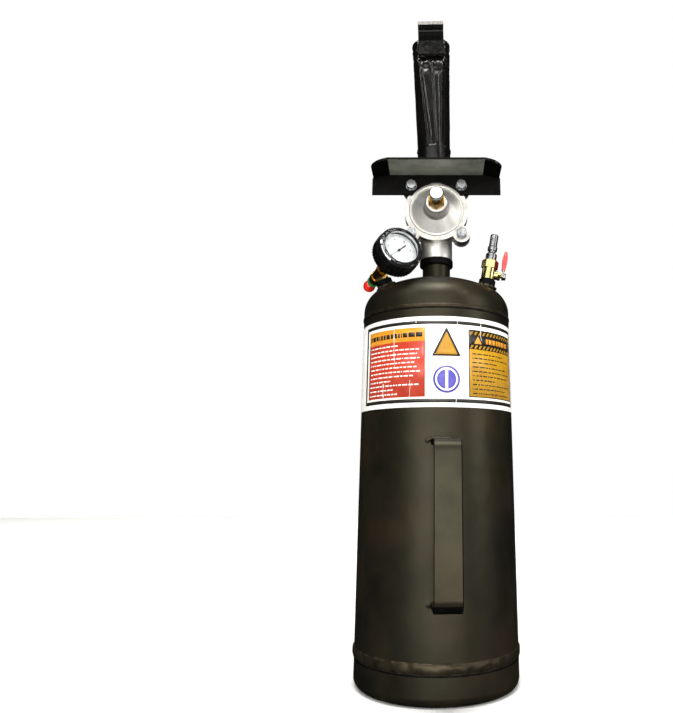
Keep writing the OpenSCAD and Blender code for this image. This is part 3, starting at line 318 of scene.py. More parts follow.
# %% Clear gauge glass
def make_glass():
    material = bpy.data.materials.new("clear_float_glass")
    material.use_nodes = True
    tree = material.node_tree
    tree.nodes.remove(tree.nodes["Principled BSDF"])
    smear = add_node(tree, "ShaderNodeTexNoise", {
        "Vector": add_node(tree, "ShaderNodeTexCoord").outputs["Object"],
        "Scale": 1 / (6 * MM), "Detail": 3.0}).outputs["Fac"]
    haze = add_node(tree, "ShaderNodeMapRange", {
        "Value": smear, "To Min": 0.0, "To Max": 0.12}).outputs[0]
    shine = add_node(tree, "ShaderNodeBsdfGlossy", {
        "Color": hex_colour("#f6fafb"), "Roughness": haze})
    clear = add_node(tree, "ShaderNodeBsdfTransparent", {"Color": hex_colour("#fdfefe")})
    slant = add_node(tree, "ShaderNodeFresnel", {"IOR": 1.45})
    back = add_node(tree, "ShaderNodeNewGeometry").outputs["Backfacing"]
    front = add_node(tree, "ShaderNodeMath", {0: 1.0, 1: back}, operation="SUBTRACT")
    share = add_node(tree, "ShaderNodeMath", {0: slant.outputs[0], 1: front.outputs[0]},
                     operation="MULTIPLY")
    both = add_node(tree, "ShaderNodeMixShader", {
        0: share.outputs[0], 1: clear.outputs[0], 2: shine.outputs[0]})
    tree.links.new(both.outputs[0], tree.nodes["Material Output"].inputs["Surface"])
    return material


glass = make_glass()

# %% [markdown]
# ## Dressing the CAD parts
# Turned and threaded parts are already right in the CAD model, so they only need a better
# finish. A table says which finish each material slot of the record takes. Parts that are
# rebuilt further down are hidden there, one at a time.

# %% Give each CAD node its finish
finish_of_slot = {
    "tank_paint": tank_paint, "weld_paint": weld_paint, "gloss_black_paint": gloss_paint,
    "label_film": film_white, "cast_aluminium": cast_metal, "rubber": rubber,
    "zinc_steel": zinc, "spring_steel": spring_wire, "brass": brass, "chrome": chrome,
    "gauge_case_steel": gloss_paint, "bezel_chrome": chrome, "clear_glass": glass,
    "dial_white": dial_white, "needle_black": dial_black, "green_plastic": green_plastic,
    "red_plastic": red_plastic, "red_vinyl": red_vinyl, "seat_plastic": seat_plastic}
# The stub's collar and the two bosses take the dull black, painted shade, and the valve body takes the pale cast
# finish, painted light.
finish_of_node = {"ball_valve_body": pale_brass, "end_nut": pale_brass,
                  "packing_nut": pale_brass, "outlet_stub": tank_paint,
                  "stub_collar": shade_dull_paint, "gauge_boss": shade_dull_paint,
                  "inlet_boss": shade_dull_paint, "outlet_elbow": gloss_paint,
                  "barrel_pipe": gloss_paint, "air_plug": zinc,
                  "valve_body": pale_lit_cast}
for node, piece in nodes.items():
    piece.data.materials.clear()
    piece.data.materials.append(finish_of_node.get(node, finish_of_slot[slot_of[node]]))
print("dressed", len(nodes), "CAD nodes")


# %% [markdown]
# ## Working with bmesh
# Every rebuilt piece goes through the same last steps: edges sharper than a set angle are
# marked, the mesh is set down in its place and scaled from millimetres, and it rides on
# the CAD body that it belongs to. A weighted normal keeps flat faces flat beside a rounded
# edge.

# %% Helpers that end a piece
def is_sharp(edge, degrees):
    return len(edge.link_faces) == 2 and edge.calc_face_angle(0) > math.radians(degrees)


def round_edges(bm, width, steps=2, degrees=30):
    """Rounds every edge that is sharper than the angle given."""
    edges = [edge for edge in bm.edges if is_sharp(edge, degrees)]
    bmesh.ops.bevel(bm, geom=edges, offset=width, offset_type="OFFSET", affect="EDGES",
                    segments=steps, profile=0.5, material=-1, clamp_overlap=True)


def set_down(bm, name, finishes, body="root", stands_for=(), place=Matrix(), scale=MM,
             crease=40):
    """Turns a bmesh into a finished piece of the object."""
    bmesh.ops.transform(bm, matrix=place @ Matrix.Scale(scale, 4), verts=bm.verts)
    for face in bm.faces:
        face.smooth = True
    for edge in bm.edges:
        edge.smooth = not is_sharp(edge, crease)
    mesh = bpy.data.meshes.new(name)
    bm.to_mesh(mesh)
    bm.free()
    for finish_used in finishes:
        mesh.materials.append(finish_used)
    piece = bpy.data.objects.new(name, mesh)
    piece["joined_mesh"] = 1.0
    bpy.context.scene.collection.objects.link(piece)
    normals = piece.modifiers.new("even_normals", "WEIGHTED_NORMAL")
    normals.keep_sharp = True
    if body:
        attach(piece, body)
    if stands_for:
        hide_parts(*stands_for)
    print(f"{name}: {len(mesh.polygons)} faces")
    return piece


# %% [markdown]
# ## Rounded edges on pressed and cut parts
# A CAD edge is perfectly sharp, and no real edge is: a bend, a saw cut and a casting all
# carry a small radius that catches a line of light. Remodelling these parts would only
# repeat their sizes, so a copy of the CAD mesh is welded together, its flat triangles are
# merged, and its edges are bevelled by the radius that each way of making leaves.

# %% Soften the CAD parts that show
def soften(node, width_mm, steps=2, finishes=None, degrees=30):
    bm = bmesh.new()
    bm.from_mesh(nodes[node].data)
    bmesh.ops.remove_doubles(bm, verts=bm.verts, dist=2e-6)
    bmesh.ops.dissolve_limit(bm, angle_limit=math.radians(0.8), verts=bm.verts,
                             edges=bm.edges)
    round_edges(bm, width_mm * MM, steps, degrees)
    used = finishes or [nodes[node].data.materials[0]]
    return set_down(bm, "soft_" + node, used, body_of[node], [node], scale=1)


edge_radius_mm = {"carry_handle": 1.1, "handle_bar": 0.7, "stub_collar": 0.4,
                  "valve_body": 1.2, "valve_cover": 1.4, "outlet_elbow": 0.8,
                  "gauge_boss": 0.5, "inlet_boss": 0.5, "lever": 0.3,
                  "brass_tee": 0.35, "ball_valve_body": 0.35, "gauge_boot": 0.35}
soft = {node: soften(node, radius) for node, radius in edge_radius_mm.items()}

# %% [markdown]
# ## The springs
# The button, the valve's plate and the relief knob each press a coil spring. Each coil is a
# welded copy of the CAD spring that stands where the CAD spring stood.

# %% Copy the three springs
for node, joint_name in (("pilot_spring", "button_push"), ("main_spring", "plate_lift"),
                         ("relief_spring", "relief_pull_out")):
    bm = bmesh.new()
    bm.from_mesh(nodes[node].data)
    bmesh.ops.remove_doubles(bm, verts=bm.verts, dist=2e-6)
    travel = Vector(joints[joint_name]["axis"]).normalized()
    reach = [vert.co.dot(travel) for vert in bm.verts]
    coil = set_down(bm, "coil_" + node, [spring_wire], None, [node], scale=1)
    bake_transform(coil)

# %% [markdown]
# The crossbar's three faces take three finishes. The shelf's underside takes the pale grey,
# painted light for the light it catches from below, and the web and the sloping ends take
# the dull black, painted shade.

# %% Three finishes for the crossbar
shelf_above = 30 * MM
facing_down, sloping_down, facing_front = -0.985, -0.2, -0.9
bar = soft["handle_bar"]
bar.data.materials.clear()
for finish_used in (gloss_paint, lit_grey_paint, shade_dull_paint):
    bar.data.materials.append(finish_used)
for face in bar.data.polygons:
    if face.normal.z < facing_down and face.center.z > valve_z + shelf_above:
        face.material_index = 1
    elif face.normal.z < sloping_down or face.normal.y < facing_front:
        face.material_index = 2

# %% [markdown]
# The valve's flange keeps the cast finish, and the dome of its cover takes a paler copy of
# it with a broader shine: painted light, for the bright light that falls on the dome.

# %% Two finishes for the valve's cover
cover = soft["valve_cover"]
cover.data.materials.append(pale_lit_cast)
for face in cover.data.polygons:
    if -face.center.y / MM > cover_t + 0.5:
        face.material_index = 1

# %% [markdown]
# The carrying strap is flat bar as well. Its narrow sides and the underside of its lower
# bend take the dull black: painted shade, for the shadow in the gaps beside the strap and
# the shade under the bend, so they read as dark lines beside the satin front.

# %% Two finishes for the strap
strap = soft["carry_handle"]
strap.data.materials.append(shade_dull_paint)
for face in strap.data.polygons:
    if abs(face.normal.x) > 0.45 or face.normal.z < -0.35:
        face.material_index = 1

# %% [markdown]
# ## Weld beads
# A bead is a rope of metal that froze in ripples. It could be a texture, but a bead stands
# proud and breaks the outline, so it is modelled: a small oval is spun round the seam and
# its skin is pushed in and out by a noise for the lumps. The lower seam's bead is wide and
# ragged along its upper edge, and the upper one is narrow.

# %% Beads that are spun round a seam
def lumpy(bm, lump_mm, depth_mm, seed=0.0):
    """Pushes every point along its normal by a noise."""
    bm.normal_update()
    for vert in bm.verts:
        push = noise.noise(vert.co / lump_mm + Vector((seed, seed, seed)))
        vert.co += vert.normal * push * depth_mm


def oval(bm, centre_r, centre_z, half_w, half_h, sides=12):
    """A closed oval that stands in the XZ plane."""
    made = bmesh.ops.create_circle(bm, segments=sides, radius=1, cap_ends=False)
    shape = (Matrix.Translation((centre_r, 0, centre_z)) @ Matrix.Rotation(math.pi / 2, 4, "X")
             @ Matrix.Diagonal((half_w, half_h, 1, 1)))
    bmesh.ops.transform(bm, matrix=shape, verts=made["verts"])
    return made["verts"]


def ring_bead(name, radius, height, half_w, half_h, lump_mm, depth_mm, place=Matrix(),
              steps=180, stands_for=(), finish_used=weld_paint, seed=0.0):
    bm = bmesh.new()
    oval(bm, radius, height, half_w, half_h)
    bmesh.ops.spin(bm, geom=bm.verts[:] + bm.edges[:], cent=(0, 0, 0), axis=(0, 0, 1),
                   angle=math.tau, steps=steps, use_merge=True, use_duplicate=False)
    bmesh.ops.remove_doubles(bm, verts=bm.verts, dist=0.001)
    bmesh.ops.recalc_face_normals(bm, faces=bm.faces)
    lumpy(bm, lump_mm, depth_mm, seed)
    return set_down(bm, name, [finish_used], "root", stands_for, place)


low_bead_low, low_bead_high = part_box("seam_welds")
bead_proud = low_bead_high.x / MM - tank_r
low_bead_half = seam_low - low_bead_low.z / MM
ring_bead("lower_seam_bead", tank_r - 0.1, seam_low + 0.6, bead_proud - 0.4,
          low_bead_half + 0.2, 7, 0.8, steps=420, stands_for=["seam_welds"])
# Each crease ring under a bead takes the dull black: painted shade along the crease.
ring_bead("lower_crease_painted_shade", tank_r, seam_low - low_bead_half - 0.6, 0.35, 0.7, 9, 0.2,
          steps=300, finish_used=shade_dull_paint, seed=12.0)
ring_bead("upper_seam_bead", tank_r - 0.25, seam_top, 1.0, 2.0, 9, 0.4, steps=300,
          stands_for=["seam_welds"])
ring_bead("upper_crease_painted_shade", tank_r, seam_top - 2.6, 0.3, 0.6, 9, 0.2, steps=300,
          finish_used=shade_dull_paint, seed=14.0)

# %% [markdown]
# The pipes and bosses are welded to the head as well. Their beads sit in the corner between
# the pipe and the dome, so each one is a ring that is tipped with its boss.

# %% Beads round the stub, the bosses and the barrel
head_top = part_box("top_head")[1].z / MM
stub_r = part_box("outlet_stub")[1].x / MM
ring_bead("stub_bead", stub_r, head_top, 2.6, 2.0, 3.5, 0.9, steps=90, seed=3.0)

crown_r = 143
boss_bead_r = 9.2
dome_centre = Vector((0, 0, head_top - crown_r))
for node, lean in (("gauge_boss", -26), ("inlet_boss", 10)):
    boss_mid = middle(node)
    lean_axis = Vector((math.sin(math.radians(lean)), 0, math.cos(math.radians(lean))))
    foot = boss_mid - lean_axis * 0.3 * MM
    out = (foot - dome_centre * MM).normalized()
    ring_bead(node + "_bead", boss_bead_r, 0.2, 2.2, 1.6, 2.8, 0.9, steps=72,
              place=upright(foot, (out + lean_axis).normalized(), (1, 0, 0)), seed=5.0)

ring_bead("barrel_seam_bead", pipe_r - 0.3, -barrel_len, 1.2, 1.5, 2.4, 0.9, steps=120,
          place=barrel_place, finish_used=gloss_paint, seed=8.0)

# %% [markdown]
# The handle's two ends and the hook's root are joined by short runs of weld. A short run is
# a stretched ball with ripples and lumps, because it starts and stops in a blob.

# %% Short runs of weld
def weld_run(name, length, width, place, seed, finish_used=weld_paint):
    bm = bmesh.new()
    bmesh.ops.create_uvsphere(bm, u_segments=48, v_segments=20, radius=1)
    shape = Matrix.Rotation(math.pi / 2, 4, "Y")
    shape = Matrix.Diagonal((length / 2, width / 2, width / 2, 1)) @ shape
    bmesh.ops.transform(bm, matrix=shape, verts=bm.verts)
    for vert in bm.verts:
        ripple = 1 + 0.08 * math.sin(vert.co.x * math.tau / 1.9)
        vert.co.y *= ripple
        vert.co.z *= ripple
    lumpy(bm, 2.2, 0.7, seed)
    return set_down(bm, name, [finish_used], place=place)


handle_low, handle_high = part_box("carry_handle")
handle_mid = (handle_low + handle_high) / 2
handle_turn = math.atan2(handle_mid.x, -handle_low.y)
round_tank = Matrix.Rotation(handle_turn, 4, "Z")


def on_tank(side_mm, height_mm):
    """A place on the tank's front, turned to where the handle is."""
    turn = Matrix.Rotation(side_mm / tank_r, 4, "Z")
    return round_tank @ turn @ Matrix.Translation((0, -tank_r * MM, height_mm * MM))


top_z = handle_high.z / MM
low_z = handle_low.z / MM
for name, side, height, length, width in (
        ("handle_weld_top", 0, top_z + 0.6, 26, 3.8), ("handle_weld_blob", -13.5, top_z - 1, 6, 4.2),
        ("handle_weld_low", 0, low_z - 0.6, 24, 3.2), ("handle_weld_spot", -13, low_z + 1, 4, 3.2)):
    weld_run(name, length, width, on_tank(side, height), seed=height)
print("handle turned", round(math.degrees(handle_turn), 1), "degrees")

# %% [markdown]
# ## The barrel
# A round pipe has been hammered towards an oval, so its front has a long flat that widens
# to the mouth between two creases, and near the mouth it is lumpy where the hook was
# welded on. A loft between two rings gives the flat and the creases: a ring of points is
# extruded upwards step by step, and each point slides from its place on the circle to its
# place on the oval. The points are closer together in front, where the flat needs them.

# %% Loft the barrel and dent it
ring_points = 176
rise_steps = 76
mouth_half_w = 25.5
mouth_half_d = 13.75
mouth_reach = mouth_half_w - mouth_half_d
flat_angle = math.radians(8)
wall_mm = 3.0
crowd = 0.42


def around(k):
    """Angle of a ring's point, from the front, crowded towards the front and the back."""
    turn = math.tau * k / ring_points
    return turn - crowd * math.sin(2 * turn)


def oval_point(turn):
    """Point of the flattened mouth at an angle from the front."""
    side = 1 if math.sin(turn) >= 0 else -1
    front = math.atan2(abs(math.sin(turn)), abs(math.cos(turn)))
    if front < flat_angle:
        x, depth = mouth_reach * front / flat_angle, mouth_half_d
    else:
        bend = (front - flat_angle) / (math.pi / 2 - flat_angle) * math.pi / 2
        x = mouth_reach + mouth_half_d * math.sin(bend)
        depth = mouth_half_d * math.cos(bend)
    return side * x, -depth if math.cos(turn) >= 0 else depth


# %% [markdown]
# Dents and ridges are only numbers: where each one is, how far it reaches, and how deep it
# is. Most are near the mouth, where the pipe was hammered hardest.

# %% Dents and ridges
dents = [  # across, below the mouth, reach, depth: a minus sign raises a lump
    (-11, -26, 7, 1.6), (12, -26, 7, 1.6), (1.5, -38, 4.5, -1.7), (-17, -12, 5, 1.2),
    (-8, -44, 5, 0.9), (9, -48, 6, 0.8), (16, -14, 4, -1.0), (-20, -30, 3, -1.2),
    (-21, -14, 3, -1.1), (19, -26, 3, -1.2), (19, -40, 3, 1.0), (-18, -40, 3, -0.9)]
ridges = [  # across at the foot, across at the mouth, width, height
    (-2.5, -17.5, 1.3, 1.1), (3.6, 0.4, 1.1, 0.9), (9.9, 15.5, 1.3, 1.1), (-8, -20, 1.2, 0.7),
    (7, 8.5, 1.0, 0.5)]
# %% [markdown]
# The first ring is extruded upwards, one ring at a time. Each new point takes the number of
# the point below it, because an extrude doesn't promise an order.

# %% Extrude the rings
bm = bmesh.new()
ring = bmesh.ops.create_circle(bm, segments=ring_points, radius=pipe_r, cap_ends=False)["verts"]
bm.verts.index_update()
order = {vert: k for k, vert in enumerate(ring)}
rings = [ring]
edges = bm.edges[:]
for step in range(rise_steps):
    grown = bmesh.ops.extrude_edge_only(bm, edges=edges)["geom"]
    ring = [item for item in grown if isinstance(item, bmesh.types.BMVert)]
    fresh = set(ring)
    edges = [edge for edge in bm.edges if edge.verts[0] in fresh and edge.verts[1] in fresh]
    for vert in ring:
        below = [edge.other_vert(vert) for edge in vert.link_edges
                 if edge.other_vert(vert) not in fresh]
        order[vert] = order[below[0]]
    rings.append(ring)
print("barrel rings:", len(rings))

# %% [markdown]
# Now each ring slides from the circle to the oval by its share of the height, and the dents,
# the ridges and two noises are added. Solidify gives the pipe its wall, inwards, so the
# outside stays true, and a bevel files the lip.

# %% Shape the rings and give the pipe its wall
for step, ring in enumerate(rings):
    share = step / rise_steps
    for vert in ring:
        turn = around(order[vert])
        x, y = oval_point(turn)
        x = (1 - share) * pipe_r * math.sin(turn) + share * x
        y = -(1 - share) * pipe_r * math.cos(turn) + share * y
        z = -barrel_len * (1 - share)
        out = Vector((x, y, 0)).normalized()
        if y < 0:
            for across, below, reach, depth in dents:
                away = (x - across) ** 2 + (z - below) ** 2
                y += depth * math.exp(-away / reach ** 2)
            for foot, top, width, height in ridges:
                line = foot + (top - foot) * share
                fade = min(1.0, share * 8) * min(1.0, max(0.0, (-z - 30) / 20))
                y -= height * fade * math.exp(-((x - line) / width) ** 2)
        rough = max(0.0, min(1.0, (z + 58) / 40))
        bump = noise.noise(Vector((x, y, z)) / 5.0) * 1.2 * rough
        bump += noise.noise(Vector((x, y, z * 0.3)) / 5.0) * 0.35 * min(1.0, share * 6)
        vert.co = Vector((x, y, z)) + out * (bump - 0.3)
bmesh.ops.recalc_face_normals(bm, faces=bm.faces)
barrel = set_down(bm, "hammered_barrel", [gloss_paint],
                  stands_for=["barrel"], place=barrel_place)
wall = barrel.modifiers.new("pipe_wall", "SOLIDIFY")
wall.thickness = wall_mm * MM
wall.offset = -1
lip = barrel.modifiers.new("filed_lip", "BEVEL")
lip.width = 0.5 * MM
lip.segments = 2
lip.limit_method = "ANGLE"
lip.angle_limit = math.radians(50)

# %% [markdown]
# ## The rim hook
# The hook is flat bar, bent over and welded to the front of the mouth. Its paint has been
# knocked off the end that rests on the wheel, so the faces of that end take bare steel.

# %% Soften the hook, bare its end, weld its root
bare_depth_mm = 0.9
hook_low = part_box("rim_hook")[0]
hook = soften("rim_hook", 0.6, finishes=[gloss_paint, bare_steel])
for face in hook.data.polygons:
    if face.center.y < hook_low.y + bare_depth_mm * MM:
        face.material_index = 1
pad_half = (18, 4.2, 12)
root_pad = bmesh.new()
bmesh.ops.create_uvsphere(root_pad, u_segments=64, v_segments=32, radius=1)
bmesh.ops.transform(root_pad, matrix=Matrix.Diagonal((*pad_half, 1)), verts=root_pad.verts)
lumpy(root_pad, 6.5, 1.3, 4.0)
pad_spot = barrel_place @ Matrix.Translation(Vector((0, -16.4, -17)) * MM)
# The root's weld takes the dull black: painted shade for the dark recess round the hook's root.
set_down(root_pad, "hook_root_weld", [shade_dull_paint], place=pad_spot)
hook_front = -19.0
for name, x, z, length in (("hook_weld_left", -17.5, -12, 22), ("hook_weld_right", 17.5, -12, 22),
                           ("hook_weld_low", 0, -26, 30)):
    lie = Matrix.Rotation(math.pi / 2, 4, "Y") if "low" not in name else Matrix()
    spot = barrel_place @ Matrix.Translation(Vector((x, hook_front + 4.4, z)) * MM) @ lie
    weld_run(name, length, 4.6, spot, seed=x + 40, finish_used=gloss_paint)

# %% [markdown]
# ## The label
# The label is a printed film round the front of the tank. It could be an image, but plain
# shapes keep it generic and sharp at any distance: a white film, a black line round it,
# and panels of coloured bars in place of any wording. Every shape is drawn flat, in
# millimetres from the middle of the label, as a fine grid, and the whole drawing is then
# wrapped round the tank. Each layer is a few hundredths of a millimetre above the last.

# %% Flat shapes for the label
label_low, label_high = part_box("label")
label_z = label_low.z / MM
label_h = (label_high.z - label_low.z) / MM
label_r = -label_low.y / MM
label_half = math.radians(83) * label_r
layer_mm = 0.03
label_inks = [film_white, ink["black"], ink["red"], ink["orange"], ink["yellow"], ink["violet"]]
WHITE, BLACK, RED, ORANGE, YELLOW, VIOLET = range(6)
bm = bmesh.new()


def paint_faces(verts, index):
    for face in {face for vert in verts for face in vert.link_faces}:
        face.material_index = index


def panel(left, low, right, high, layer, index, slant=0.0):
    """A rectangle, or a leaning one if slant isn't zero."""
    across = max(1, round((right - left) / 2.5))
    made = bmesh.ops.create_grid(bm, x_segments=across, y_segments=1, size=0.5)["verts"]
    for vert in made:
        vert.co = Vector(((left + right) / 2 + vert.co.x * (right - left) + vert.co.y * slant,
                          (low + high) / 2 + vert.co.y * (high - low), layer * layer_mm))
    paint_faces(made, index)


def triangle(middle_x, low, half, height, layer, index):
    made = bmesh.ops.create_grid(bm, x_segments=8, y_segments=8, size=0.5)["verts"]
    for vert in made:
        up = vert.co.y + 0.5
        vert.co = Vector((middle_x + vert.co.x * 2 * half * (1 - up * 0.97),
                          low + up * height, layer * layer_mm))
    paint_faces(made, index)


def disc(middle_x, middle_y, radius, layer, index):
    made = bmesh.ops.create_circle(bm, segments=48, radius=radius, cap_ends=False)["verts"]
    edges = [edge for edge in bm.edges if edge.verts[0] in made and edge.verts[1] in made]
    all_verts = list(made)
    for share in (0.75, 0.5, 0.25, 0.02):
        grown = bmesh.ops.extrude_edge_only(bm, edges=edges)["geom"]
        ring = [item for item in grown if isinstance(item, bmesh.types.BMVert)]
        fresh = set(ring)
        edges = [item for item in grown if isinstance(item, bmesh.types.BMEdge)
                 and item.verts[0] in fresh and item.verts[1] in fresh]
        for vert in ring:
            vert.co = vert.co.normalized() * radius * share
        all_verts += ring
    for vert in all_verts:
        vert.co = Vector((middle_x + vert.co.x, middle_y + vert.co.y, layer * layer_mm))
    paint_faces(all_verts, index)


def word_row(left, low, right, height, layer, index, seed):
    """A row of short blocks that stands in for a line of print."""
    at = left
    count = 0
    while at < right - 2:
        length = 3.6 + 5.0 * noise.noise(Vector((seed * 3.7, count * 1.9, 0.5)))
        stop = min(at + length, right)
        panel(at, low, stop, low + height, layer, index)
        at = stop + 1.1
        count += 1


# %% [markdown]
# The sheet is drawn from the bottom layer up: the film and its black line, the red panel on
# the left, the marks in the middle, and the yellow panel on the right. The blocks' lengths
# come from a noise, so no two rows are alike and yet every run draws the same ones.

# %% Draw the label
panel(-label_half, 0, label_half, label_h, 0, WHITE)
line_w = 3.4
inset = 4.4
edge_left, edge_right = -88.5, 104.0
for low in (inset, label_h - inset - line_w):
    panel(edge_left, low, edge_right, low + line_w, 1, BLACK)
for left in (edge_left, edge_right - line_w):
    panel(left, inset, left + line_w, label_h - inset, 1, BLACK)

left_panel = (-81.5, -11.0)
panel(left_panel[0], 9.8, left_panel[1], 63.9, 1, RED)
panel(left_panel[0], 63.9, left_panel[1], 77.5, 1, ORANGE)
word_row(left_panel[0] + 2.5, 68.2, left_panel[1] - 1.5, 4.6, 2, BLACK, 1)
bar_pitch = 4.3
for row in range(12):
    reach = (0.6, 0.52, 0.98, 0.5, 0.86, 0.97, 0.94, 0.9, 0.98, 0.95, 0.98, 0.6)[row]
    low = 12.5 + row * bar_pitch
    right = left_panel[0] + 3 + (left_panel[1] - left_panel[0] - 6) * reach
    word_row(left_panel[0] + 3, low, right, 1.2, 2, WHITE, row + 2)

triangle(10, 48.9, 14.4, 28.2, 1, BLACK)
triangle(10, 50.6, 11.2, 21.8, 2, YELLOW)
disc(10, 26.6, 13.2, 1, VIOLET)
disc(10, 26.6, 11.2, 2, WHITE)
disc(10, 26.6, 9.4, 3, VIOLET)
panel(8.6, 16.6, 11.4, 36.6, 4, WHITE)

right_panel = (32.5, 99.5)
panel(right_panel[0], 10.0, right_panel[1], 76.5, 1, BLACK)
panel(right_panel[0] + 0.9, 10.9, right_panel[1] - 0.9, 75.6, 2, YELLOW)
panel(right_panel[0] + 0.9, 57, right_panel[1] - 0.9, 75.6, 3, BLACK)
for low in (57.6, 71.4):
    for step in range(13):
        left = right_panel[0] + 2.4 + step * 5
        panel(left, low, left + 2.4, low + 3.4, 4, YELLOW, slant=2.6)
triangle(right_panel[0] + 11, 62.6, 4.6, 7.6, 4, ORANGE)
word_row(right_panel[0] + 21, 63.6, right_panel[1] - 6, 5.0, 4, ORANGE, 30)
for row in range(10):
    reach = (0.92, 0.8, 0.96, 0.5, 0.9, 0.97, 0.84, 0.6, 0.94, 0.75)[row]
    low = 13.2 + row * bar_pitch
    right = right_panel[0] + 4 + (right_panel[1] - right_panel[0] - 8) * reach
    word_row(right_panel[0] + 4, low, right, 1.1, 3, BLACK, row + 40)

# %% [markdown]
# Where the film was pulled tight over the tank it creased and the ink split, so thin white
# strips lie over the print. Each is a chain of short panels whose width and place wander.

# %% Crease the label
creases = [(-44, 46, 77, 0.7), (-57, 10, 24, 0.8), (-26, 10, 26, 0.7), (-43, 38, 52, 0.5),
           (21, 74, 86, 0.9), (47, 66, 84, 0.8), (19, 3, 8, 0.9), (-20, 82, 85, 1.0)]
for at, low, high, width in creases:
    steps = max(2, round((high - low) / 2))
    for step in range(steps):
        bottom = low + (high - low) * step / steps
        sway = 0.7 * noise.noise(Vector((at, bottom / 4, 0)))
        narrow = width * (0.4 + 0.6 * abs(noise.noise(Vector((at + 9, bottom / 3, 0)))) * 2)
        panel(at + sway - narrow / 2, bottom, at + sway + narrow / 2,
              bottom + (high - low) / steps + 0.2, 6, WHITE)

# %% [markdown]
# A flat drawing becomes a cylinder when each point's distance across is read as an arc.
# That keeps every size true, which stretching an image over a box would not, and a thin
# Solidify then gives the film its two sides.

# %% Wrap the label round the tank
for vert in bm.verts:
    turn = vert.co.x / label_r
    radius = label_r + vert.co.z
    vert.co = Vector((radius * math.sin(turn), -radius * math.cos(turn), label_z + vert.co.y))
bmesh.ops.recalc_face_normals(bm, faces=bm.faces)
for face in bm.faces:
    outward = Vector((face.calc_center_median().x, face.calc_center_median().y, 0))
    if face.normal.dot(outward) < 0:
        face.normal_flip()
label = set_down(bm, "printed_label", label_inks, stands_for=["label"])
film = label.modifiers.new("film_thickness", "SOLIDIFY")
film.thickness = 0.02 * MM
film.offset = -1

# %% [markdown]
# ## The dial
# The dial is printed: a scale of long and short marks over three quarters of a turn, with
# plain numbers. Marks are thin boxes in a ring, and the numbers are text that is turned
# into a mesh before it is set down, just above the dial.

# %% Marks on the dial
marks_up = -1.0
sweep = 270
marks = 50
scale_r = 17.6
number_r = 12.3
number_size = 3.6
bm = bmesh.new()
for k in range(marks + 1):
    turn = math.radians(225 - sweep * k / marks) + dial_turn
    long_mark = k % 5 == 0
    length, width = (2.6, 0.34) if long_mark else (1.4, 0.18)
    made = bmesh.ops.create_cube(bm, size=1)["verts"]
    shape = (Matrix.Rotation(turn, 4, "Z") @ Matrix.Translation((scale_r - length / 2, 0, marks_up))
             @ Matrix.Diagonal((length, width, 0.06, 1)))
    bmesh.ops.transform(bm, matrix=shape, verts=made)
set_down(bm, "dial_marks", [dial_black], place=gauge_place)

# %% [markdown]
# A number starts as a text object, which is turned into a mesh and removed, so that only
# the shapes of the digits are left. They are turned with the dial.

# %% Numbers on the dial
def number(text, size_mm, x, y):
    curve = bpy.data.curves.new("number", "FONT")
    curve.body = text
    curve.size = size_mm
    curve.align_x = "CENTER"
    curve.align_y = "CENTER"
    curve.extrude = 0.03
    holder = bpy.data.objects.new("number", curve)
    shapes = bmesh.new()
    bpy.context.scene.collection.objects.link(holder)
    bpy.context.view_layer.update()
    shapes.from_mesh(holder.to_mesh())
    bpy.data.objects.remove(holder)
    bmesh.ops.transform(shapes, verts=shapes.verts, matrix=Matrix.Translation((x, y, marks_up))
                        @ Matrix.Rotation(dial_turn, 4, "Z"))
    return shapes


bm = bmesh.new()
for step in range(6):
    turn = math.radians(225 - sweep * step / 5) + dial_turn
    digits = number(str(2 * step), number_size, number_r * math.cos(turn),
                    number_r * math.sin(turn))
    holder = bpy.data.meshes.new("digits")
    digits.to_mesh(holder)
    bm.from_mesh(holder)
    digits.free()
    bpy.data.meshes.remove(holder)
set_down(bm, "dial_numbers", [dial_black], place=gauge_place)

# %% [markdown]
# ## The room
# The object stands on a pale floor in a bright, plain room. One broad light in front does
# most of the work, a second fills from the right, and a low one lifts the pieces that face
# down. Two narrow lights high at the sides draw thin streaks on the barrel, and two more
# whiten the floor. The air around is dim for reflections, which keeps the sides of the black
# tank dark, and white where the camera looks straight at it.

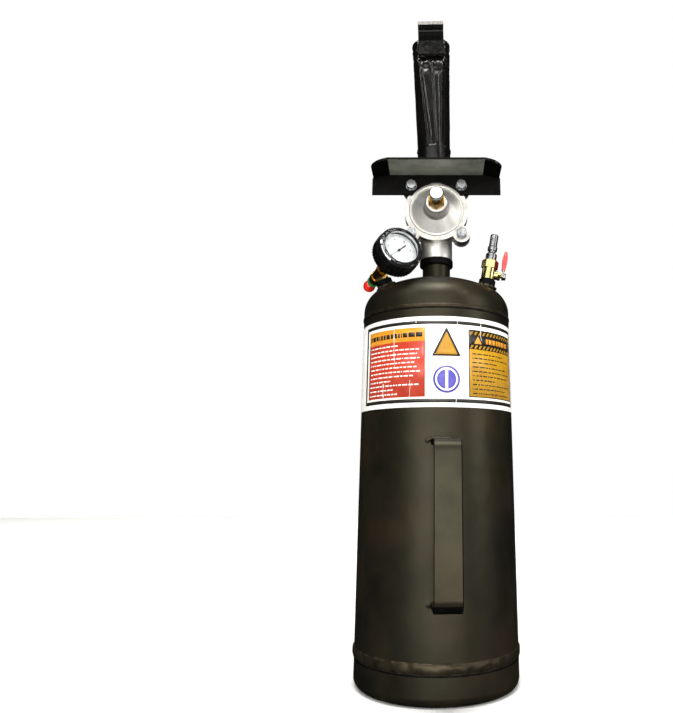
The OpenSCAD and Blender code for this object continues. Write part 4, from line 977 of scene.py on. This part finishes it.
# %% Floor, lights and air
bm = bmesh.new()
bmesh.ops.create_grid(bm, x_segments=1, y_segments=1, size=1.0)
bmesh.ops.transform(bm, matrix=Matrix.Translation((0, 0.3, 0)) @ Matrix.Diagonal((3.2, 2.0, 1, 1)),
                    verts=bm.verts)
floor_mesh = bpy.data.meshes.new("floor")
bm.to_mesh(floor_mesh)
bm.free()
floor = bpy.data.objects.new("floor", floor_mesh)
floor_mesh.materials.append(finish("pale_paper_floor", "#f0f0ee", "#f6f6f5", 300, 2, 0.01,
                                   (0.8, 0.9)))
bpy.context.scene.collection.objects.link(floor)
floor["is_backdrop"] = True


def soft_light(name, place, aim, size, power, mirrored=True):
    """A broad lamp. It can be left out of reflections."""
    lamp = bpy.data.lights.new(name, "AREA")
    lamp.shape = "RECTANGLE"
    lamp.size, lamp.size_y = size
    lamp.energy = power
    lamp.color = (1.0, 0.985, 0.96)
    holder = bpy.data.objects.new(name, lamp)
    holder.location = place
    holder.rotation_euler = (Vector(aim) - Vector(place)).to_track_quat("-Z", "Y").to_euler()
    holder.visible_glossy = mirrored
    bpy.context.scene.collection.objects.link(holder)


soft_light("front_light", (-0.35, -2.3, 0.8), (0, 0, 0.4), (2.8, 2.0), 48)
soft_light("right_light", (2.1, -1.1, 0.8), (0, 0, 0.4), (1.0, 1.7), 18)
soft_light("low_light", (0.1, -1.1, 0.06), (0, 0, 0.47), (1.3, 0.34), 6.5)
for side in (-1, 1):
    soft_light("strip_light", (1.5 * side, -1.3, 2.3), (0, 0, 0.65), (0.2, 0.9), 10)
soft_light("over_floor", (0, -0.7, 2.2), (0, -0.7, 0), (0.8, 0.8), 42)
soft_light("back_light", (0, 1.6, 2.3), (0, 1.5, 0), (5.0, 1.8), 120, mirrored=False)
floor.visible_glossy = False

world = bpy.data.worlds.new("plain_room")
world.use_nodes = True
tree = world.node_tree
seen = add_node(tree, "ShaderNodeLightPath").outputs["Is Camera Ray"]
air = mix_colour(tree, seen, hex_colour("#1f1f20"), hex_colour("#ffffff"))
tree.links.new(air, tree.nodes["Background"].inputs["Color"])
bpy.context.scene.world = world

# %% [markdown]
# ## The camera
# The camera stands close to the tank, at the height of the handle, and looks up a little,
# so the tank narrows towards the top.

# %% Camera
camera = bpy.data.cameras.new("camera")
camera.lens = 32.82
camera.sensor_width = 36
camera.shift_x = -0.140
camera.shift_y = -0.096
eye = bpy.data.objects.new("camera", camera)
eye.location = (0, -0.703, 0.1935)
eye.rotation_euler = (math.radians(105.8), 0, 0)
bpy.context.scene.collection.objects.link(eye)
bpy.context.scene.camera = eye
bpy.context.scene.view_settings.view_transform = "Standard"

# %% [markdown]
# ## The finished box
# The box of the finished object is measured, leaving out the floor.

# %% Measure the finished box
low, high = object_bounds()
